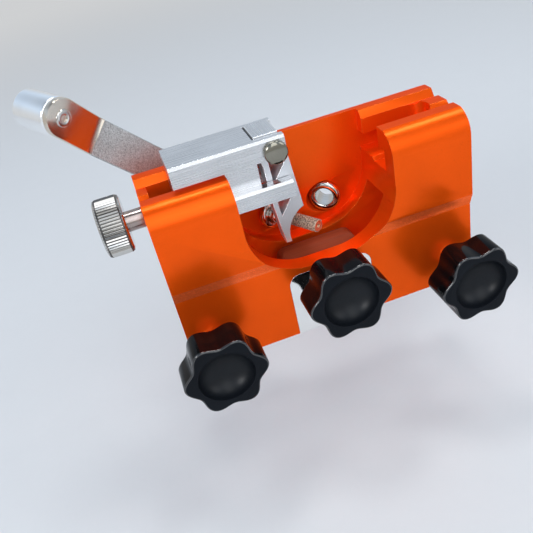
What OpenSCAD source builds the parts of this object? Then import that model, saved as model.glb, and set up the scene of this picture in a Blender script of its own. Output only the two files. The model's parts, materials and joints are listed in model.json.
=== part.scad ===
// Hand-cranked sharpener that clamps on the guide bar of a chain saw.
// Frame: +X runs along the guide bar, +Y away from the operator, +Z up.
// The origin is on the fixed jaw's face, at mid-length, level with the two outer clamp screws.

/* [Body] */
// Length of the body along the guide bar
body_l = 128; // [124:1:134]
// Height from the body's lower edge to the top of the rear rail
body_h = 77.5; // [77:0.5:80]
// Thickness of the front wall beside the bar slot
front_wall = 8; // [7.5:0.5:9]
// Thickness from the fixed jaw's face to the rear face
rear_wall = 14; // [13.5:0.5:16]
// How far the upper front stands proud of the lower front
band_step = 2.2; // [1.6:0.1:2.8]
// Height of the front step above the body's lower edge
band_rise = 35.2; // [34.8:0.1:35.6]
// Height of the front step's slope
band_h = 5.4; // [5:0.1:5.8]
// Height of the outer clamp screws above the body's lower edge
clamp_rise = 12; // [11:0.5:13]
// Width of the slot that takes the guide bar
slot_w = 16; // [15.5:0.5:17]
// Height of the slot above the body's lower edge
slot_h = 48; // [47:0.5:50]
// Radius of the rounded front shoulder
shoulder_r = 10; // [9:0.5:11]
// Radius of the rounded rear shoulder
rear_r = 6; // [4:0.5:7]

/* [Window] */
// Width of the U-shaped window
window_w = 62; // [60:1:66]
// Height of the window's floor above the body's lower edge
window_rise = 31.5; // [31:0.5:33]
// Radius of the window's lower corners
window_r = 24; // [20:0.5:26]
// Thickness of the wall behind the window
back_wall = 7.5; // [7:0.5:8.5]

/* [Slide channel] */
// Width of the channel's neck
neck_w = 15; // [14.5:0.5:16]
// Width of the channel below the lips
channel_w = 25; // [24.5:0.5:26]
// Height of the channel's floor above the body's lower edge
channel_rise = 60.5; // [60:0.5:61]
// Height of the channel below the lips
channel_h = 7.5; // [7:0.5:8]
// Thickness of the web that closes the channel at the adjuster's end
end_web = 4; // [3.5:0.5:5]

/* [Slider] */
// Length of the slider
slider_l = 44.5; // [42:0.5:46]
// Distance of the slider's free end from mid-length, at rest
slider_end = 6.4; // [6:0.1:7]
// Width of the slider's top bar
top_bar_w = 22; // [20:0.5:23]
// Height of the slider's top bar
top_bar_h = 8.2; // [8:0.1:9]
// Diameter of the adjusting screw's thread
lead_d = 6; // [5:0.5:6.5]
// Diameter of the knurled adjuster knob
adjuster_d = 23; // [20:0.5:24]
// Length of the knurled adjuster knob
adjuster_l = 10.4; // [9:0.2:12]

/* [Pawl] */
// Thickness of the pawl's leg
pawl_t = 8; // [6:0.5:8.5]
// Thickness of the pawl's head
pawl_head_t = 14; // [12:0.5:14]
// Height of the pawl's tip above the body's lower edge
pawl_rise = 38.5; // [38:0.1:39]
// Diameter of the pivot screw
pivot_d = 4; // [3.5:0.1:4.4]
// Wire diameter of the pawl spring
spring_wire = 0.5; // [0.4:0.05:0.6]
// Number of curls in the pawl spring
spring_turns = 5; // [4:1:5]

/* [Clamps] */
// Thickness of the guide bar that the clamps close on at rest
bar_t = 5; // [4.5:0.5:5.5]
// Distance of the outer clamp screws from mid-length
clamp_x = 54; // [52:0.5:55]
// Height of the centre clamp screw above the body's lower edge
center_rise = 24.5; // [24:0.5:25]
// Diameter of the clamp screws
screw_d = 8; // [7:0.5:8]
// Width of the clamp plate
plate_w = 36; // [35:0.5:38]
// Height of the clamp plate
plate_h = 29.5; // [29:0.5:29.5]
// Width of the chain clamp jaw
jaw_w = 34; // [32:0.5:35]
// Height of the chain clamp jaw's top above the body's lower edge
jaw_rise = 32.4; // [32:0.2:34]
// Diameter over the lobes of a star knob
knob_d = 34; // [32:0.5:36]
// Thickness of a star knob
knob_h = 13; // [12:0.5:14]
// Number of lobes on a star knob
knob_lobes = 6; // [5:1:7]
// Height of a star knob's lobes
lobe_h = 2.9; // [2.4:0.1:3.4]
// Diameter of a star knob's dished front
dish_d = 22.4; // [20:0.4:23.2]
// Depth of a star knob's dished front
dish_h = 8; // [6:0.5:8.5]
// Reach of the outer knobs in front of the lower front
side_reach = 24; // [23:0.5:26]
// Reach of the centre knob in front of the lower front
center_reach = 22; // [21:0.5:25]

/* [Guides and burr] */
// Angle of the guide bushes from square across the bar
guide_angle = 30; // [29:0.5:31]
// Height of the guide bushes above the body's lower edge
guide_rise = 43; // [42.5:0.5:44]
// Distance in front of the fixed jaw at which the two guide axes cross
cross_reach = 14; // [13.5:0.5:14.5]
// Diameter of the spindle that carries the burr
spindle_d = 8; // [7:0.5:8]
// Length of the spindle
spindle_l = 33.5; // [32:0.5:34.5]
// Diameter of the burr's diamond head
burr_d = 5.5; // [5:0.25:6]
// Length of the diamond head
burr_head_l = 21; // [20.5:0.5:22]
// Diameter of the burr's end that screws into the spindle
stub_d = 4; // [3.5:0.25:4.5]
// Length of the burr's end that screws into the spindle
stub_l = 8; // [6:0.5:10]
// How far the burr's tip reaches past the crossing of the guide axes
burr_reach = 1.5; // [1:0.5:2.5]
// Diameter of a guide bush's flange
bush_flange_d = 14; // [13:0.5:14.5]

/* [Crank] */
// Diameter of the chuck
chuck_d = 16; // [15:0.5:17]
// Width of the crank arm
crank_w = 15; // [14:0.5:16]
// Thickness of the crank arm
crank_t = 2.5; // [2:0.25:3]
// Distance from the spindle to the grip
crank_r = 84; // [80:1:88]
// How far the arm's outer part stands behind its hub
crank_offset = 10.5; // [9:0.5:14]
// Lean of the arm's outer part toward the tool
crank_lean = 12; // [6:1:14]
// Angle of the arm from straight up, at rest
crank_turn = 42; // [30:1:60]
// Diameter of the grip
grip_d = 15; // [14:0.5:17]
// Length of the grip
grip_l = 18; // [16:0.5:24]

/* [Fits] */
// Gap between sliding flat faces
slide_gap = 0.3; // [0.25:0.05:0.35]
// Radial clearance of turning fits
run_gap = 0.05; // [0.03:0.01:0.08]

/* [Hidden] */
$fn = 64;

// Amount by which a cut runs past the face that it opens
over = 1;

// Levels of the body, from its lower edge up
bottom_z = -clamp_rise;
band_low_z = bottom_z + band_rise;
band_high_z = band_low_z + band_h;
window_z = bottom_z + window_rise;
rail_z = bottom_z + body_h;
lip_z = rail_z - 1.3;
groove_z = rail_z - 3;
ridge_z = rail_z - 1.6;

// Depths of the body, from front to back
front_y = -slot_w - front_wall;
upper_y = front_y - band_step;
rear_y = rear_wall;
window_back_y = rear_wall - back_wall;

// Slide channel, whose rear side is level with the back of the window
slide_y = window_back_y - channel_w / 2;
floor_z = bottom_z + channel_rise;
lips_z = floor_z + channel_h;
channel_x = -body_l / 2 + end_web;
channel_end_x = body_l / 2 - 2 - channel_w / 2;
floor_step = 1.4;

// Shoulder arc of the front, which the flat of the front lip cuts just below its crown
shoulder_z = lip_z - 0.97 * shoulder_r;
rail_chamfer = 2.1;

// Slider
slider_x1 = -slider_end;
slider_x0 = slider_x1 - slider_l;
bar_y0 = slide_y - top_bar_w / 2;
bar_y1 = slide_y + top_bar_w / 2;
bar_z0 = rail_z + slide_gap;
bar_z1 = bar_z0 + top_bar_h;
edge = 0.9;

// Pawl, whose pivot crosses the slider's top bar
pivot_inset = 4.5;
pivot_lift = 2.5;
pivot_x = slider_x1 - pivot_inset;
pivot_z = bar_z0 + pivot_lift;
pivot_head_r = 4.6;
pivot_head_t = 2.6;
head_back = 6.4;
head_front = 3.1;
head_drop = 10;
pocket_x = pivot_x - head_back - 0.7;
pawl_gap = 0.4;
pawl_y0 = slide_y - pawl_head_t / 2;
tip_z = bottom_z + pawl_rise;
shoulder_out = 5.6;
hip_out = 7.9;
hip_rise = 14.5;
eye_rise = 22.5;
eye_foot = 12.8;
spring_drop = 2.8;
spring_z = bar_z1 - spring_drop;
spring_hole_r = 1.9;
spring_hole_l = 7.5;

// Adjuster
lead_z = floor_z + 5.8;
stem_d = 8;
stem_l = 6.9;
adjuster_x1 = -body_l / 2 - stem_l;
lead_grip = 21;
lead_end_x = slider_x0 + lead_grip;
clip_x = channel_x + 0.2;
clip_t = 0.9;
clip_groove_r = lead_d / 2 - 0.65;

// Clamps
center_z = bottom_z + center_rise;
screw_r = screw_d / 2;
pad_r = 7;
pad_t = 4.5;
pad_tip_r = 2.5;
jaw_rear_y = -bar_t - 0.3;
jaw_t = 9.3;
jaw_front_y = jaw_rear_y - jaw_t;
jaw_top_z = bottom_z + jaw_rise;
jaw_bottom_z = bottom_z + 8;
jaw_bore_l = 5.4;
jaw_r = 4;
jaw_bevel = 5.4;
jaw_bevel_h = 3.2;
jaw_corner = 3;
hub_r = 7;
hub_h = 2.5;
dish_floor = 1.5;
plate_r = 5;
plate_gap = 0.1;
plate_rear_y = -slot_w - slide_gap;
tongue_t = 2;
tongue_h = 20;
guide_pin_r = 2;
guide_pin_x = 12;
guide_pin_z = bottom_z + 14;
guide_pin_y0 = front_y + 3;
guide_pin_y1 = jaw_rear_y - 2.7;
retainer_r = 1.1;
retainer_x = -5;
retainer_y = jaw_front_y + 2.6;
retainer_z = center_z - 3.6;
tip_groove_r = 2.4;

// Guide bushes and the burr's axis, along which s counts back from the crossing of the two axes
guide_z = bottom_z + guide_rise;
flange_t = 3;
bush_s0 = (cross_reach + window_back_y - 1) / cos(guide_angle);
bush_s1 = bush_s0 + flange_t;
bush_s2 = (cross_reach + rear_y + 0.6) / cos(guide_angle);
bush_r = 5;
bush_bore_r = spindle_d / 2 + 0.03;
chuck_clear_r = chuck_d / 2 + 1.5;
washer_t = 1.5;
washer_r = 6.5;
washer_s0 = bush_s2 + 1.8;
chuck_s0 = washer_s0 + washer_t + 0.2;
chuck_l = 13;
cone_l = 7;
hub_s = chuck_s0 + chuck_l + cone_l;
spindle_s0 = burr_head_l - burr_reach;
spindle_s1 = spindle_s0 + spindle_l;
set_screw_s = chuck_s0 + 8;
set_screw_r = 2;
flat_depth = 0.6;
flat_s = set_screw_s - set_screw_r - 1;

// Crank arm, from the hub outward
stud_r = 3;
bend_in_r = 20;
bend_out_r = crank_r - 17;
arm_in_s = hub_s;
arm_out_s = hub_s + crank_offset;
grip_s = arm_out_s - tan(crank_lean) * (crank_r - bend_out_r);
rivet_r = 2.5;
lock_washer_r = 5.4;
lock_washer_t = 1.3;
nut_r = 5.8;
nut_h = 4.6;

// Clearance of pieces that are pressed, screwed or clamped in their seats
seat_gap = 0.02;

// Solids of revolution and straight rods along each axis of the frame
module rod_x(y, z, x0, x1, r) {
    translate([x0, y, z]) rotate([0, 90, 0]) cylinder(r = r, h = x1 - x0);
}

module rod_y(x, z, y0, y1, r) {
    translate([x, y0, z]) rotate([-90, 0, 0]) cylinder(r = r, h = y1 - y0);
}

// Extrusion of a Y-Z profile along X
module along_x(x0, x1) {
    translate([x0, 0, 0]) rotate([90, 0, 90]) linear_extrude(x1 - x0) children();
}

// Extrusion of an X-Z outline along Y
module along_y(y0, y1) {
    translate([0, y1, 0]) rotate([90, 0, 0]) linear_extrude(y1 - y0) children();
}

// Revolution of an outline about a Y axis, with the outline's height running forward from y
module lathe_y(x, z, y) {
    translate([x, y, z]) rotate([90, 0, 0]) rotate_extrude() children();
}

// Frame of a guide axis: +Z runs back from the crossing point, and -Y is up
module guide_frame(side) {
    translate([0, -cross_reach, guide_z]) rotate([-90, 0, -side * guide_angle]) children();
}

// Frame of the crank arm: +X runs out along the arm and +Z back along the spindle
module arm_frame() {
    guide_frame(-1) rotate([0, 0, -(90 + crank_turn)]) children();
}

// Frame of the grip: +Z runs back from the arm's outer face
module grip_frame() {
    arm_frame() translate([crank_r, 0, grip_s]) rotate([0, crank_lean, 0]) children();
}

// Rectangle standing on z0, with its two upper corners rounded
module arch(w, z0, z1, r) {
    translate([-w / 2, z0]) square([w, z1 - z0 - r]);
    translate([-w / 2 + r, z0]) square([w - 2 * r, z1 - z0]);
    for (side = [-1, 1]) translate([side * (w / 2 - r), z1 - r]) circle(r);
}

// Cross-section of the body: stepped front, rounded shoulders, grooved top and the bar slot
module body_profile() {
    neck_y0 = slide_y - neck_w / 2;
    neck_y1 = slide_y + neck_w / 2;
    difference() {
        polygon([
            [front_y, bottom_z], [front_y, band_low_z],
            [upper_y, band_high_z], [upper_y, lip_z],
            [neck_y0, lip_z], [neck_y0 + 1.5, groove_z],
            [neck_y0 + 3.5, groove_z], [neck_y0 + 5, ridge_z],
            [neck_y1 - 3.5, ridge_z], [neck_y1 - 2, groove_z],
            [neck_y1, groove_z], [neck_y1 + rail_chamfer, rail_z],
            [rear_y, rail_z], [rear_y, bottom_z]
        ]);
        difference() {
            translate([upper_y - over, shoulder_z]) square(shoulder_r + over);
            translate([upper_y + shoulder_r, shoulder_z]) circle(shoulder_r);
        }
        difference() {
            translate([rear_y - rear_r, rail_z - rear_r]) square(rear_r + over);
            translate([rear_y - rear_r, rail_z - rear_r]) circle(rear_r);
        }
        translate([-slot_w, bottom_z - over]) square([slot_w, slot_h + over]);
    }
}

// U-shaped window, open at the top
module window_outline() {
    half = window_w / 2;
    arc_z = window_z + window_r;
    translate([-half, arc_z]) square([window_w, body_h]);
    translate([window_r - half, window_z]) square([window_w - 2 * window_r, window_r + over]);
    for (side = [-1, 1]) translate([side * (half - window_r), arc_z]) circle(window_r);
}

// T-shaped channel for the slider, square at the adjuster's end and round at the other
module channel_cut() {
    length = channel_end_x - channel_x;
    translate([channel_x, slide_y - neck_w / 2, floor_z]) cube([length, neck_w, body_h]);
    translate([channel_end_x, slide_y, floor_z]) cylinder(d = neck_w, h = body_h);
    translate([channel_x, slide_y - channel_w / 2, floor_z]) cube([length, channel_w, channel_h]);
    translate([channel_end_x, slide_y, floor_z]) cylinder(d = channel_w, h = channel_h);
    along_x(channel_x, channel_end_x) polygon([
        [slide_y - channel_w / 2, floor_z + over], [slide_y - channel_w / 2, floor_z - floor_step],
        [slide_y - floor_step, floor_z - floor_step], [slide_y, floor_z], [slide_y, floor_z + over]
    ]);
}

// Seat of a guide bush: flange pocket in front, bore, and room for the chuck behind
module guide_cut(side) {
    guide_frame(side) {
        translate([0, 0, bush_s1 - 14]) cylinder(d = bush_flange_d + 0.6, h = 14);
        translate([0, 0, bush_s1 - over]) cylinder(r = bush_r, h = 2 * rear_wall);
        translate([0, 0, bush_s2]) cylinder(r = chuck_clear_r, h = 2 * rear_wall);
    }
}

// Grooves beside the notch that hold the clamp plate's tongues
module tongues(gap) {
    for (side = [-1, 1])
        translate([side * plate_w / 2 - tongue_t - gap, front_y + 3 - gap, bottom_z - gap])
            cube([2 * (tongue_t + gap), tongue_t + 2 * gap, tongue_h + 2 * gap]);
}

module main_body() {
    color("#E8641C") difference() {
        along_x(-body_l / 2, body_l / 2) body_profile();
        along_y(upper_y - over, window_back_y) window_outline();
        along_y(upper_y - over, -slot_w + over)
            arch(plate_w, bottom_z - over, bottom_z + plate_h, plate_r);
        tongues(plate_gap);
        channel_cut();
        for (side = [-1, 1]) {
            guide_cut(side);
            rod_y(side * clamp_x, 0, upper_y - over, -slot_w + over, screw_r + run_gap);
        }
        rod_x(slide_y, lead_z, -body_l / 2 - over, channel_x + over, lead_d / 2 + run_gap);
    }
}

module guide_bush(side) {
    lead_in = 0.4;
    color("#D9DADB") guide_frame(side) rotate_extrude() polygon([
        [bush_bore_r + lead_in, bush_s0], [bush_flange_d / 2 - 0.8, bush_s0],
        [bush_flange_d / 2, bush_s0 + 0.8], [bush_flange_d / 2, bush_s1],
        [bush_r, bush_s1], [bush_r, bush_s2],
        [bush_bore_r + lead_in, bush_s2], [bush_bore_r, bush_s2 - lead_in],
        [bush_bore_r, bush_s0 + lead_in]
    ]);
}

module left_guide_bush() {
    guide_bush(-1);
}

module right_guide_bush() {
    guide_bush(1);
}

module clamp_plate() {
    width = plate_w - 2 * plate_gap;
    top_z = bottom_z + plate_h - plate_gap;
    pin_hole_y = front_y + 1.2;
    color("#D6D8DA") difference() {
        union() {
            along_y(front_y, plate_rear_y) arch(width, bottom_z, top_z, plate_r - plate_gap);
            intersection() {
                tongues(0);
                translate([-plate_w, front_y, bottom_z]) cube([2 * plate_w, front_wall, plate_h]);
            }
        }
        rod_y(0, center_z, front_y - over, plate_rear_y + over, screw_r + run_gap);
        for (side = [-1, 1])
            rod_y(side * guide_pin_x, guide_pin_z, pin_hole_y, plate_rear_y + over, guide_pin_r + run_gap);
    }
}

module clamp_jaw() {
    relief_z = center_z + 2;
    slope = jaw_bevel_h / jaw_bevel;
    color("#8A4A2E") difference() {
        along_y(jaw_front_y, jaw_rear_y) arch(jaw_w, jaw_bottom_z, jaw_top_z, jaw_r);
        along_x(-jaw_w, jaw_w) polygon([
            [jaw_front_y - over, jaw_top_z - jaw_bevel_h - slope * over],
            [jaw_front_y + jaw_bevel + over, jaw_top_z + slope * over],
            [jaw_front_y - over, jaw_top_z + slope * over]
        ]);
        for (side = [-1, 1])
            translate([side * jaw_w / 2, jaw_front_y, jaw_bottom_z - over]) rotate([0, 0, 45])
                translate([-jaw_corner, -jaw_corner, 0] / sqrt(2))
                    cube([jaw_corner * sqrt(2), jaw_corner * sqrt(2), body_h]);
        translate([-jaw_w, jaw_rear_y - 0.9, jaw_bottom_z - over])
            cube([2 * jaw_w, 2, relief_z - jaw_bottom_z + over]);
        rod_y(0, center_z, jaw_front_y - over, jaw_front_y + jaw_bore_l, screw_r + run_gap);
        rod_x(retainer_y, retainer_z, retainer_x, jaw_w, retainer_r + seat_gap);
        for (side = [-1, 1])
            rod_y(side * guide_pin_x, guide_pin_z, jaw_front_y - over, guide_pin_y1, guide_pin_r + seat_gap);
    }
}

module jaw_guide_pins() {
    color("#C9CBCE") for (side = [-1, 1])
        rod_y(side * guide_pin_x, guide_pin_z, guide_pin_y0, guide_pin_y1, guide_pin_r);
}

module jaw_retaining_pin() {
    color("#C9CBCE")
        rod_x(retainer_y, retainer_z, retainer_x, jaw_w / 2 - jaw_corner + 0.8, retainer_r);
}

// Clamp screw from its tip to its seat in the knob, with a collar behind the knob's hub
module clamp_screw(x, z, tip_y, reach) {
    knob_y = front_y - reach;
    hub_y = knob_y + knob_h + hub_h;
    rod_y(x, z, knob_y + dish_h + dish_floor, tip_y, screw_r);
    rod_y(x, z, hub_y, hub_y + 2, screw_r + 1.4);
}

module center_clamp_screw() {
    groove_w = 2 * retainer_r + 0.5;
    color("#CFD1D4") difference() {
        clamp_screw(0, center_z, jaw_front_y + jaw_bore_l - 0.3, center_reach);
        difference() {
            rod_y(0, center_z, retainer_y - groove_w / 2, retainer_y + groove_w / 2, screw_r + over);
            rod_y(0, center_z, retainer_y - groove_w, retainer_y + groove_w, tip_groove_r);
        }
    }
}

module side_clamp_screw(side) {
    shoulder = -bar_t - pad_t - slide_gap;
    color("#CFD1D4") {
        clamp_screw(side * clamp_x, 0, shoulder, side_reach);
        rod_y(side * clamp_x, 0, shoulder - over, shoulder + 3, pad_tip_r);
    }
}

module left_clamp_screw() {
    side_clamp_screw(-1);
}

module right_clamp_screw() {
    side_clamp_screw(1);
}

module side_clamp_pad(side) {
    color("#B9BCC0") difference() {
        rod_y(side * clamp_x, 0, -bar_t - pad_t, -bar_t, pad_r);
        rod_y(side * clamp_x, 0, -bar_t - pad_t - over, -bar_t - 1.4, pad_tip_r + run_gap);
    }
}

module left_clamp_pad() {
    side_clamp_pad(-1);
}

module right_clamp_pad() {
    side_clamp_pad(1);
}

// Star outline whose lobes swell and narrow evenly, with one lobe along +X
module star_outline() {
    swell = lobe_h / 2;
    middle = knob_d / 2 - swell;
    points = 96;
    polygon([
        for (i = [0 : points - 1])
            let (a = 360 * i / points, r = middle + swell * cos(knob_lobes * a))
            [r * cos(a), r * sin(a)]
    ]);
}

// Star knob with a round dish in front, a hub behind and a blind seat for the screw
module star_knob(x, z, reach) {
    face_y = front_y - reach;
    outer = knob_d / 2;
    rim = 0.8;
    dish_steps = 8;
    color("#1B1C1E") difference() {
        union() {
            intersection() {
                translate([x, face_y + knob_h, z]) rotate([90, 0, 0])
                    linear_extrude(knob_h) star_outline();
                lathe_y(x, z, face_y + knob_h) polygon([
                    [0, 0], [outer - rim, 0], [outer + rim, 2 * rim], [outer + rim, knob_h - 2 * rim],
                    [outer - rim, knob_h], [0, knob_h]
                ]);
            }
            rod_y(x, z, face_y + knob_h - over, face_y + knob_h + hub_h, hub_r);
        }
        lathe_y(x, z, face_y + dish_h) polygon([
            for (i = [0 : dish_steps])
                let (a = 90 * i / dish_steps) [dish_d / 2 * sin(a), dish_h * (1 - cos(a))],
            [dish_d / 2, dish_h + over], [0, dish_h + over]
        ]);
        rod_y(x, z, face_y + dish_h + dish_floor, face_y + knob_h + hub_h + over, screw_r + seat_gap);
    }
}

module center_knob() {
    star_knob(0, center_z, center_reach);
}

module left_knob() {
    star_knob(-clamp_x, 0, side_reach);
}

module right_knob() {
    star_knob(clamp_x, 0, side_reach);
}

// Cross-section of the slider: top bar over the rails, neck, and flange under the lips
module slider_profile() {
    flange_y0 = slide_y - channel_w / 2 + slide_gap;
    flange_y1 = slide_y + channel_w / 2 - slide_gap;
    flange_z0 = floor_z + slide_gap;
    flange_z1 = lips_z - slide_gap;
    neck_y0 = slide_y - neck_w / 2 + slide_gap;
    neck_y1 = slide_y + neck_w / 2 - slide_gap;
    polygon([
        [flange_y0, flange_z0], [flange_y0, flange_z1 - edge], [flange_y0 + edge, flange_z1],
        [neck_y0, flange_z1], [neck_y0, bar_z0], [bar_y0, bar_z0],
        [bar_y0, bar_z1 - edge], [bar_y0 + edge, bar_z1],
        [bar_y1 - edge, bar_z1], [bar_y1, bar_z1 - edge],
        [bar_y1, bar_z0], [neck_y1, bar_z0], [neck_y1, flange_z1],
        [flange_y1 - edge, flange_z1], [flange_y1, flange_z1 - edge], [flange_y1, flange_z0]
    ]);
}

module slider() {
    pocket_w = pawl_head_t + 2 * pawl_gap;
    color("#C3CAD2") difference() {
        along_x(slider_x0, slider_x1) slider_profile();
        translate([pocket_x, slide_y - pocket_w / 2, floor_z - over]) cube([slider_l, pocket_w, body_h]);
        rod_x(slide_y, lead_z, slider_x0 - over, pocket_x + over, lead_d / 2 + run_gap);
        rod_y(pivot_x, pivot_z, bar_y0 - over, bar_y1 + over, pivot_d / 2 + seat_gap);
        rod_x(slide_y, spring_z, pocket_x - spring_hole_l, pocket_x + over, spring_hole_r);
    }
}

module pawl_pivot_screw() {
    color("#D9D6CC") {
        rod_y(pivot_x, pivot_z, bar_y0 - 0.5, bar_y1 - 0.6, pivot_d / 2);
        lathe_y(pivot_x, pivot_z, bar_y0) polygon([
            [0, 0], [pivot_head_r, 0], [pivot_head_r, pivot_head_t - 0.9],
            [pivot_head_r - 0.5, pivot_head_t - 0.3], [pivot_head_r - 1.4, pivot_head_t], [0, pivot_head_t]
        ]);
    }
}

// Centre line of the pawl spring, counted in eighths of a curl
spring_ring_n = 8;
spring_side_n = 6;
spring_coil_r = spring_hole_r - spring_wire / 2 - 0.15;
spring_x0 = pocket_x - spring_hole_l + spring_wire;
spring_x1 = pivot_x - head_back - slide_gap - spring_wire;
spring_steps = spring_turns * spring_ring_n;
spring_points = [
    for (i = [0 : spring_steps])
        let (a = 360 * i / spring_ring_n)
        [spring_x0 + (spring_x1 - spring_x0) * i / spring_steps,
         slide_y + spring_coil_r * cos(a), spring_z + spring_coil_r * sin(a)]
];
spring_gap = min([
    for (i = [0 : spring_steps - spring_ring_n])
        norm(spring_points[i + spring_ring_n] - spring_points[i]) - spring_wire
]);
echo("Least gap between curls of the pawl spring", spring_gap);

module pawl_spring() {
    rings = [
        for (i = [0 : spring_steps])
            let (a = 360 * i / spring_ring_n, out = [0, cos(a), sin(a)], axial = [1, 0, 0])
            for (k = [0 : spring_side_n - 1])
                let (b = 360 * k / spring_side_n)
                spring_points[i] + spring_wire / 2 * (cos(b) * out + sin(b) * axial)
    ];
    walls = [
        for (i = [0 : spring_steps - 1])
            for (k = [0 : spring_side_n - 1])
                let (p = i * spring_side_n + k, q = i * spring_side_n + (k + 1) % spring_side_n)
                for (face = [[p, q + spring_side_n, q], [p, p + spring_side_n, q + spring_side_n]]) face
    ];
    last = spring_steps * spring_side_n;
    caps = [
        for (k = [1 : spring_side_n - 2])
            for (face = [[0, k, k + 1], [last, last + k + 1, last + k]]) face
    ];
    color("#A9ACB0") polyhedron(rings, concat(walls, caps));
}

// Outline of the pawl, from its head down to the tip that the cutter's heel rests on
module pawl_outline() {
    head_x0 = pivot_x - head_back;
    head_x1 = pivot_x + head_front;
    head_z = bar_z1 + 0.6;
    difference() {
        polygon([
            [head_x0, head_z], [head_x1, head_z], [head_x1 + 0.8, head_z - 3.6],
            [pivot_x + shoulder_out, pivot_z - 5.3], [pivot_x + hip_out, tip_z + hip_rise],
            [pivot_x + 4.9, tip_z], [pivot_x - 2.1, tip_z],
            [pivot_x - 4.4, tip_z + 19], [pivot_x - 5, pivot_z - 6.3], [head_x0, pivot_z - 1.3]
        ]);
        translate([pivot_x + 12.8, tip_z + 2.7]) circle(12.6);
        polygon([
            [pivot_x - 2.6, pivot_z - 5], [pivot_x + 2.6, pivot_z - 4.4],
            [pivot_x + 3.6, pivot_z - 6.4], [pivot_x - 2.2, pivot_z - 14.5]
        ]);
        polygon([
            [pivot_x - 2.5, tip_z + eye_rise], [pivot_x + 4.6, tip_z + eye_rise - 1],
            [pivot_x - 1.6, tip_z + eye_foot]
        ]);
    }
}

module pawl() {
    color("#C9D0D6") difference() {
        union() {
            along_y(pawl_y0, pawl_y0 + pawl_t) pawl_outline();
            along_y(pawl_y0, pawl_y0 + pawl_head_t) intersection() {
                pawl_outline();
                translate([pivot_x - body_h / 2, pivot_z - head_drop]) square(body_h);
            }
        }
        rod_y(pivot_x, pivot_z, pawl_y0 - over, pawl_y0 + pawl_head_t + over, pivot_d / 2 + run_gap);
    }
}

module lead_screw() {
    groove_x1 = clip_x + clip_t + 0.1;
    color("#C4C2BC") difference() {
        union() {
            rod_x(slide_y, lead_z, adjuster_x1 - adjuster_l + 2, -body_l / 2 - 0.2, stem_d / 2);
            rod_x(slide_y, lead_z, -body_l / 2 - over, lead_end_x, lead_d / 2);
        }
        difference() {
            rod_x(slide_y, lead_z, clip_x - 0.1, groove_x1, lead_d);
            rod_x(slide_y, lead_z, clip_x - over, groove_x1 + over, clip_groove_r);
        }
    }
}

// Straight-knurled outline
module knurl_outline(r, teeth, depth) {
    polygon([
        for (i = [0 : 2 * teeth - 1])
            let (a = 180 * i / teeth, p = i % 2 == 0 ? r : r - depth)
            [p * cos(a), p * sin(a)]
    ]);
}

module adjuster_knob() {
    outer = adjuster_d / 2;
    rim = 1.1;
    color("#CBC8C0") difference() {
        translate([adjuster_x1 - adjuster_l, slide_y, lead_z]) rotate([0, 90, 0]) intersection() {
            linear_extrude(adjuster_l) knurl_outline(outer, 56, 0.55);
            rotate_extrude() polygon([
                [0, 0], [outer - rim, 0], [outer + rim, 2 * rim], [outer + rim, adjuster_l - 2 * rim],
                [outer - rim, adjuster_l], [0, adjuster_l]
            ]);
        }
        rod_x(slide_y, lead_z, adjuster_x1 - adjuster_l + 2, adjuster_x1 + over, stem_d / 2 + seat_gap);
        translate([adjuster_x1 - adjuster_l / 2, slide_y, lead_z]) cylinder(r = 1.5, h = adjuster_d);
    }
}

module adjuster_grub_screw() {
    color("#3A3B3D") translate([adjuster_x1 - adjuster_l / 2, slide_y, lead_z + stem_d / 2 + 0.05])
        cylinder(r = 1.5, h = 5);
}

module retaining_clip() {
    opening = 1.6 * clip_groove_r;
    color("#4A4C50") difference() {
        rod_x(slide_y, lead_z, clip_x, clip_x + clip_t, lead_d / 2 + 1.6);
        rod_x(slide_y, lead_z, clip_x - over, clip_x + clip_t + over, clip_groove_r + 0.03);
        translate([clip_x - over, slide_y - opening / 2, lead_z])
            cube([clip_t + 2 * over, opening, lead_d]);
    }
}

module thrust_washer() {
    color("#E6E3DA") guide_frame(-1) translate([0, 0, washer_s0]) difference() {
        cylinder(r = washer_r, h = washer_t);
        translate([0, 0, -over]) cylinder(r = spindle_d / 2 + run_gap, h = washer_t + 2 * over);
    }
}

// Burr whose diamond head has a centre hole in front and a stub that screws into the spindle behind
module diamond_burr() {
    head_r = burr_d / 2;
    stub_r = stub_d / 2;
    hole_r = 0.8;
    hole_l = 0.6;
    color("#9A9384") guide_frame(-1) rotate_extrude() polygon([
        [0, hole_l - burr_reach], [hole_r, hole_l - burr_reach], [hole_r, -burr_reach],
        [head_r - 0.4, -burr_reach], [head_r, 0.4 - burr_reach],
        [head_r, spindle_s0], [stub_r, spindle_s0],
        [stub_r, spindle_s0 + stub_l - 0.4], [stub_r - 0.4, spindle_s0 + stub_l], [0, spindle_s0 + stub_l]
    ]);
}

// Spindle that runs in a guide bush, with a socket for the burr and a flat for the chuck's set screw
module burr_spindle() {
    outer = spindle_d / 2;
    color("#CDCFD1") guide_frame(-1) difference() {
        rotate_extrude() polygon([
            [0, spindle_s0], [outer - 0.6, spindle_s0], [outer, spindle_s0 + 0.6],
            [outer, spindle_s1 - 0.4], [outer - 0.4, spindle_s1], [0, spindle_s1]
        ]);
        translate([0, 0, spindle_s0 - over]) cylinder(r = stub_d / 2 + seat_gap, h = stub_l + 0.5 + over);
        translate([-spindle_d, flat_depth - outer - spindle_d, flat_s])
            cube([2 * spindle_d, spindle_d, spindle_s1 - flat_s + over]);
    }
}

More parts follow.
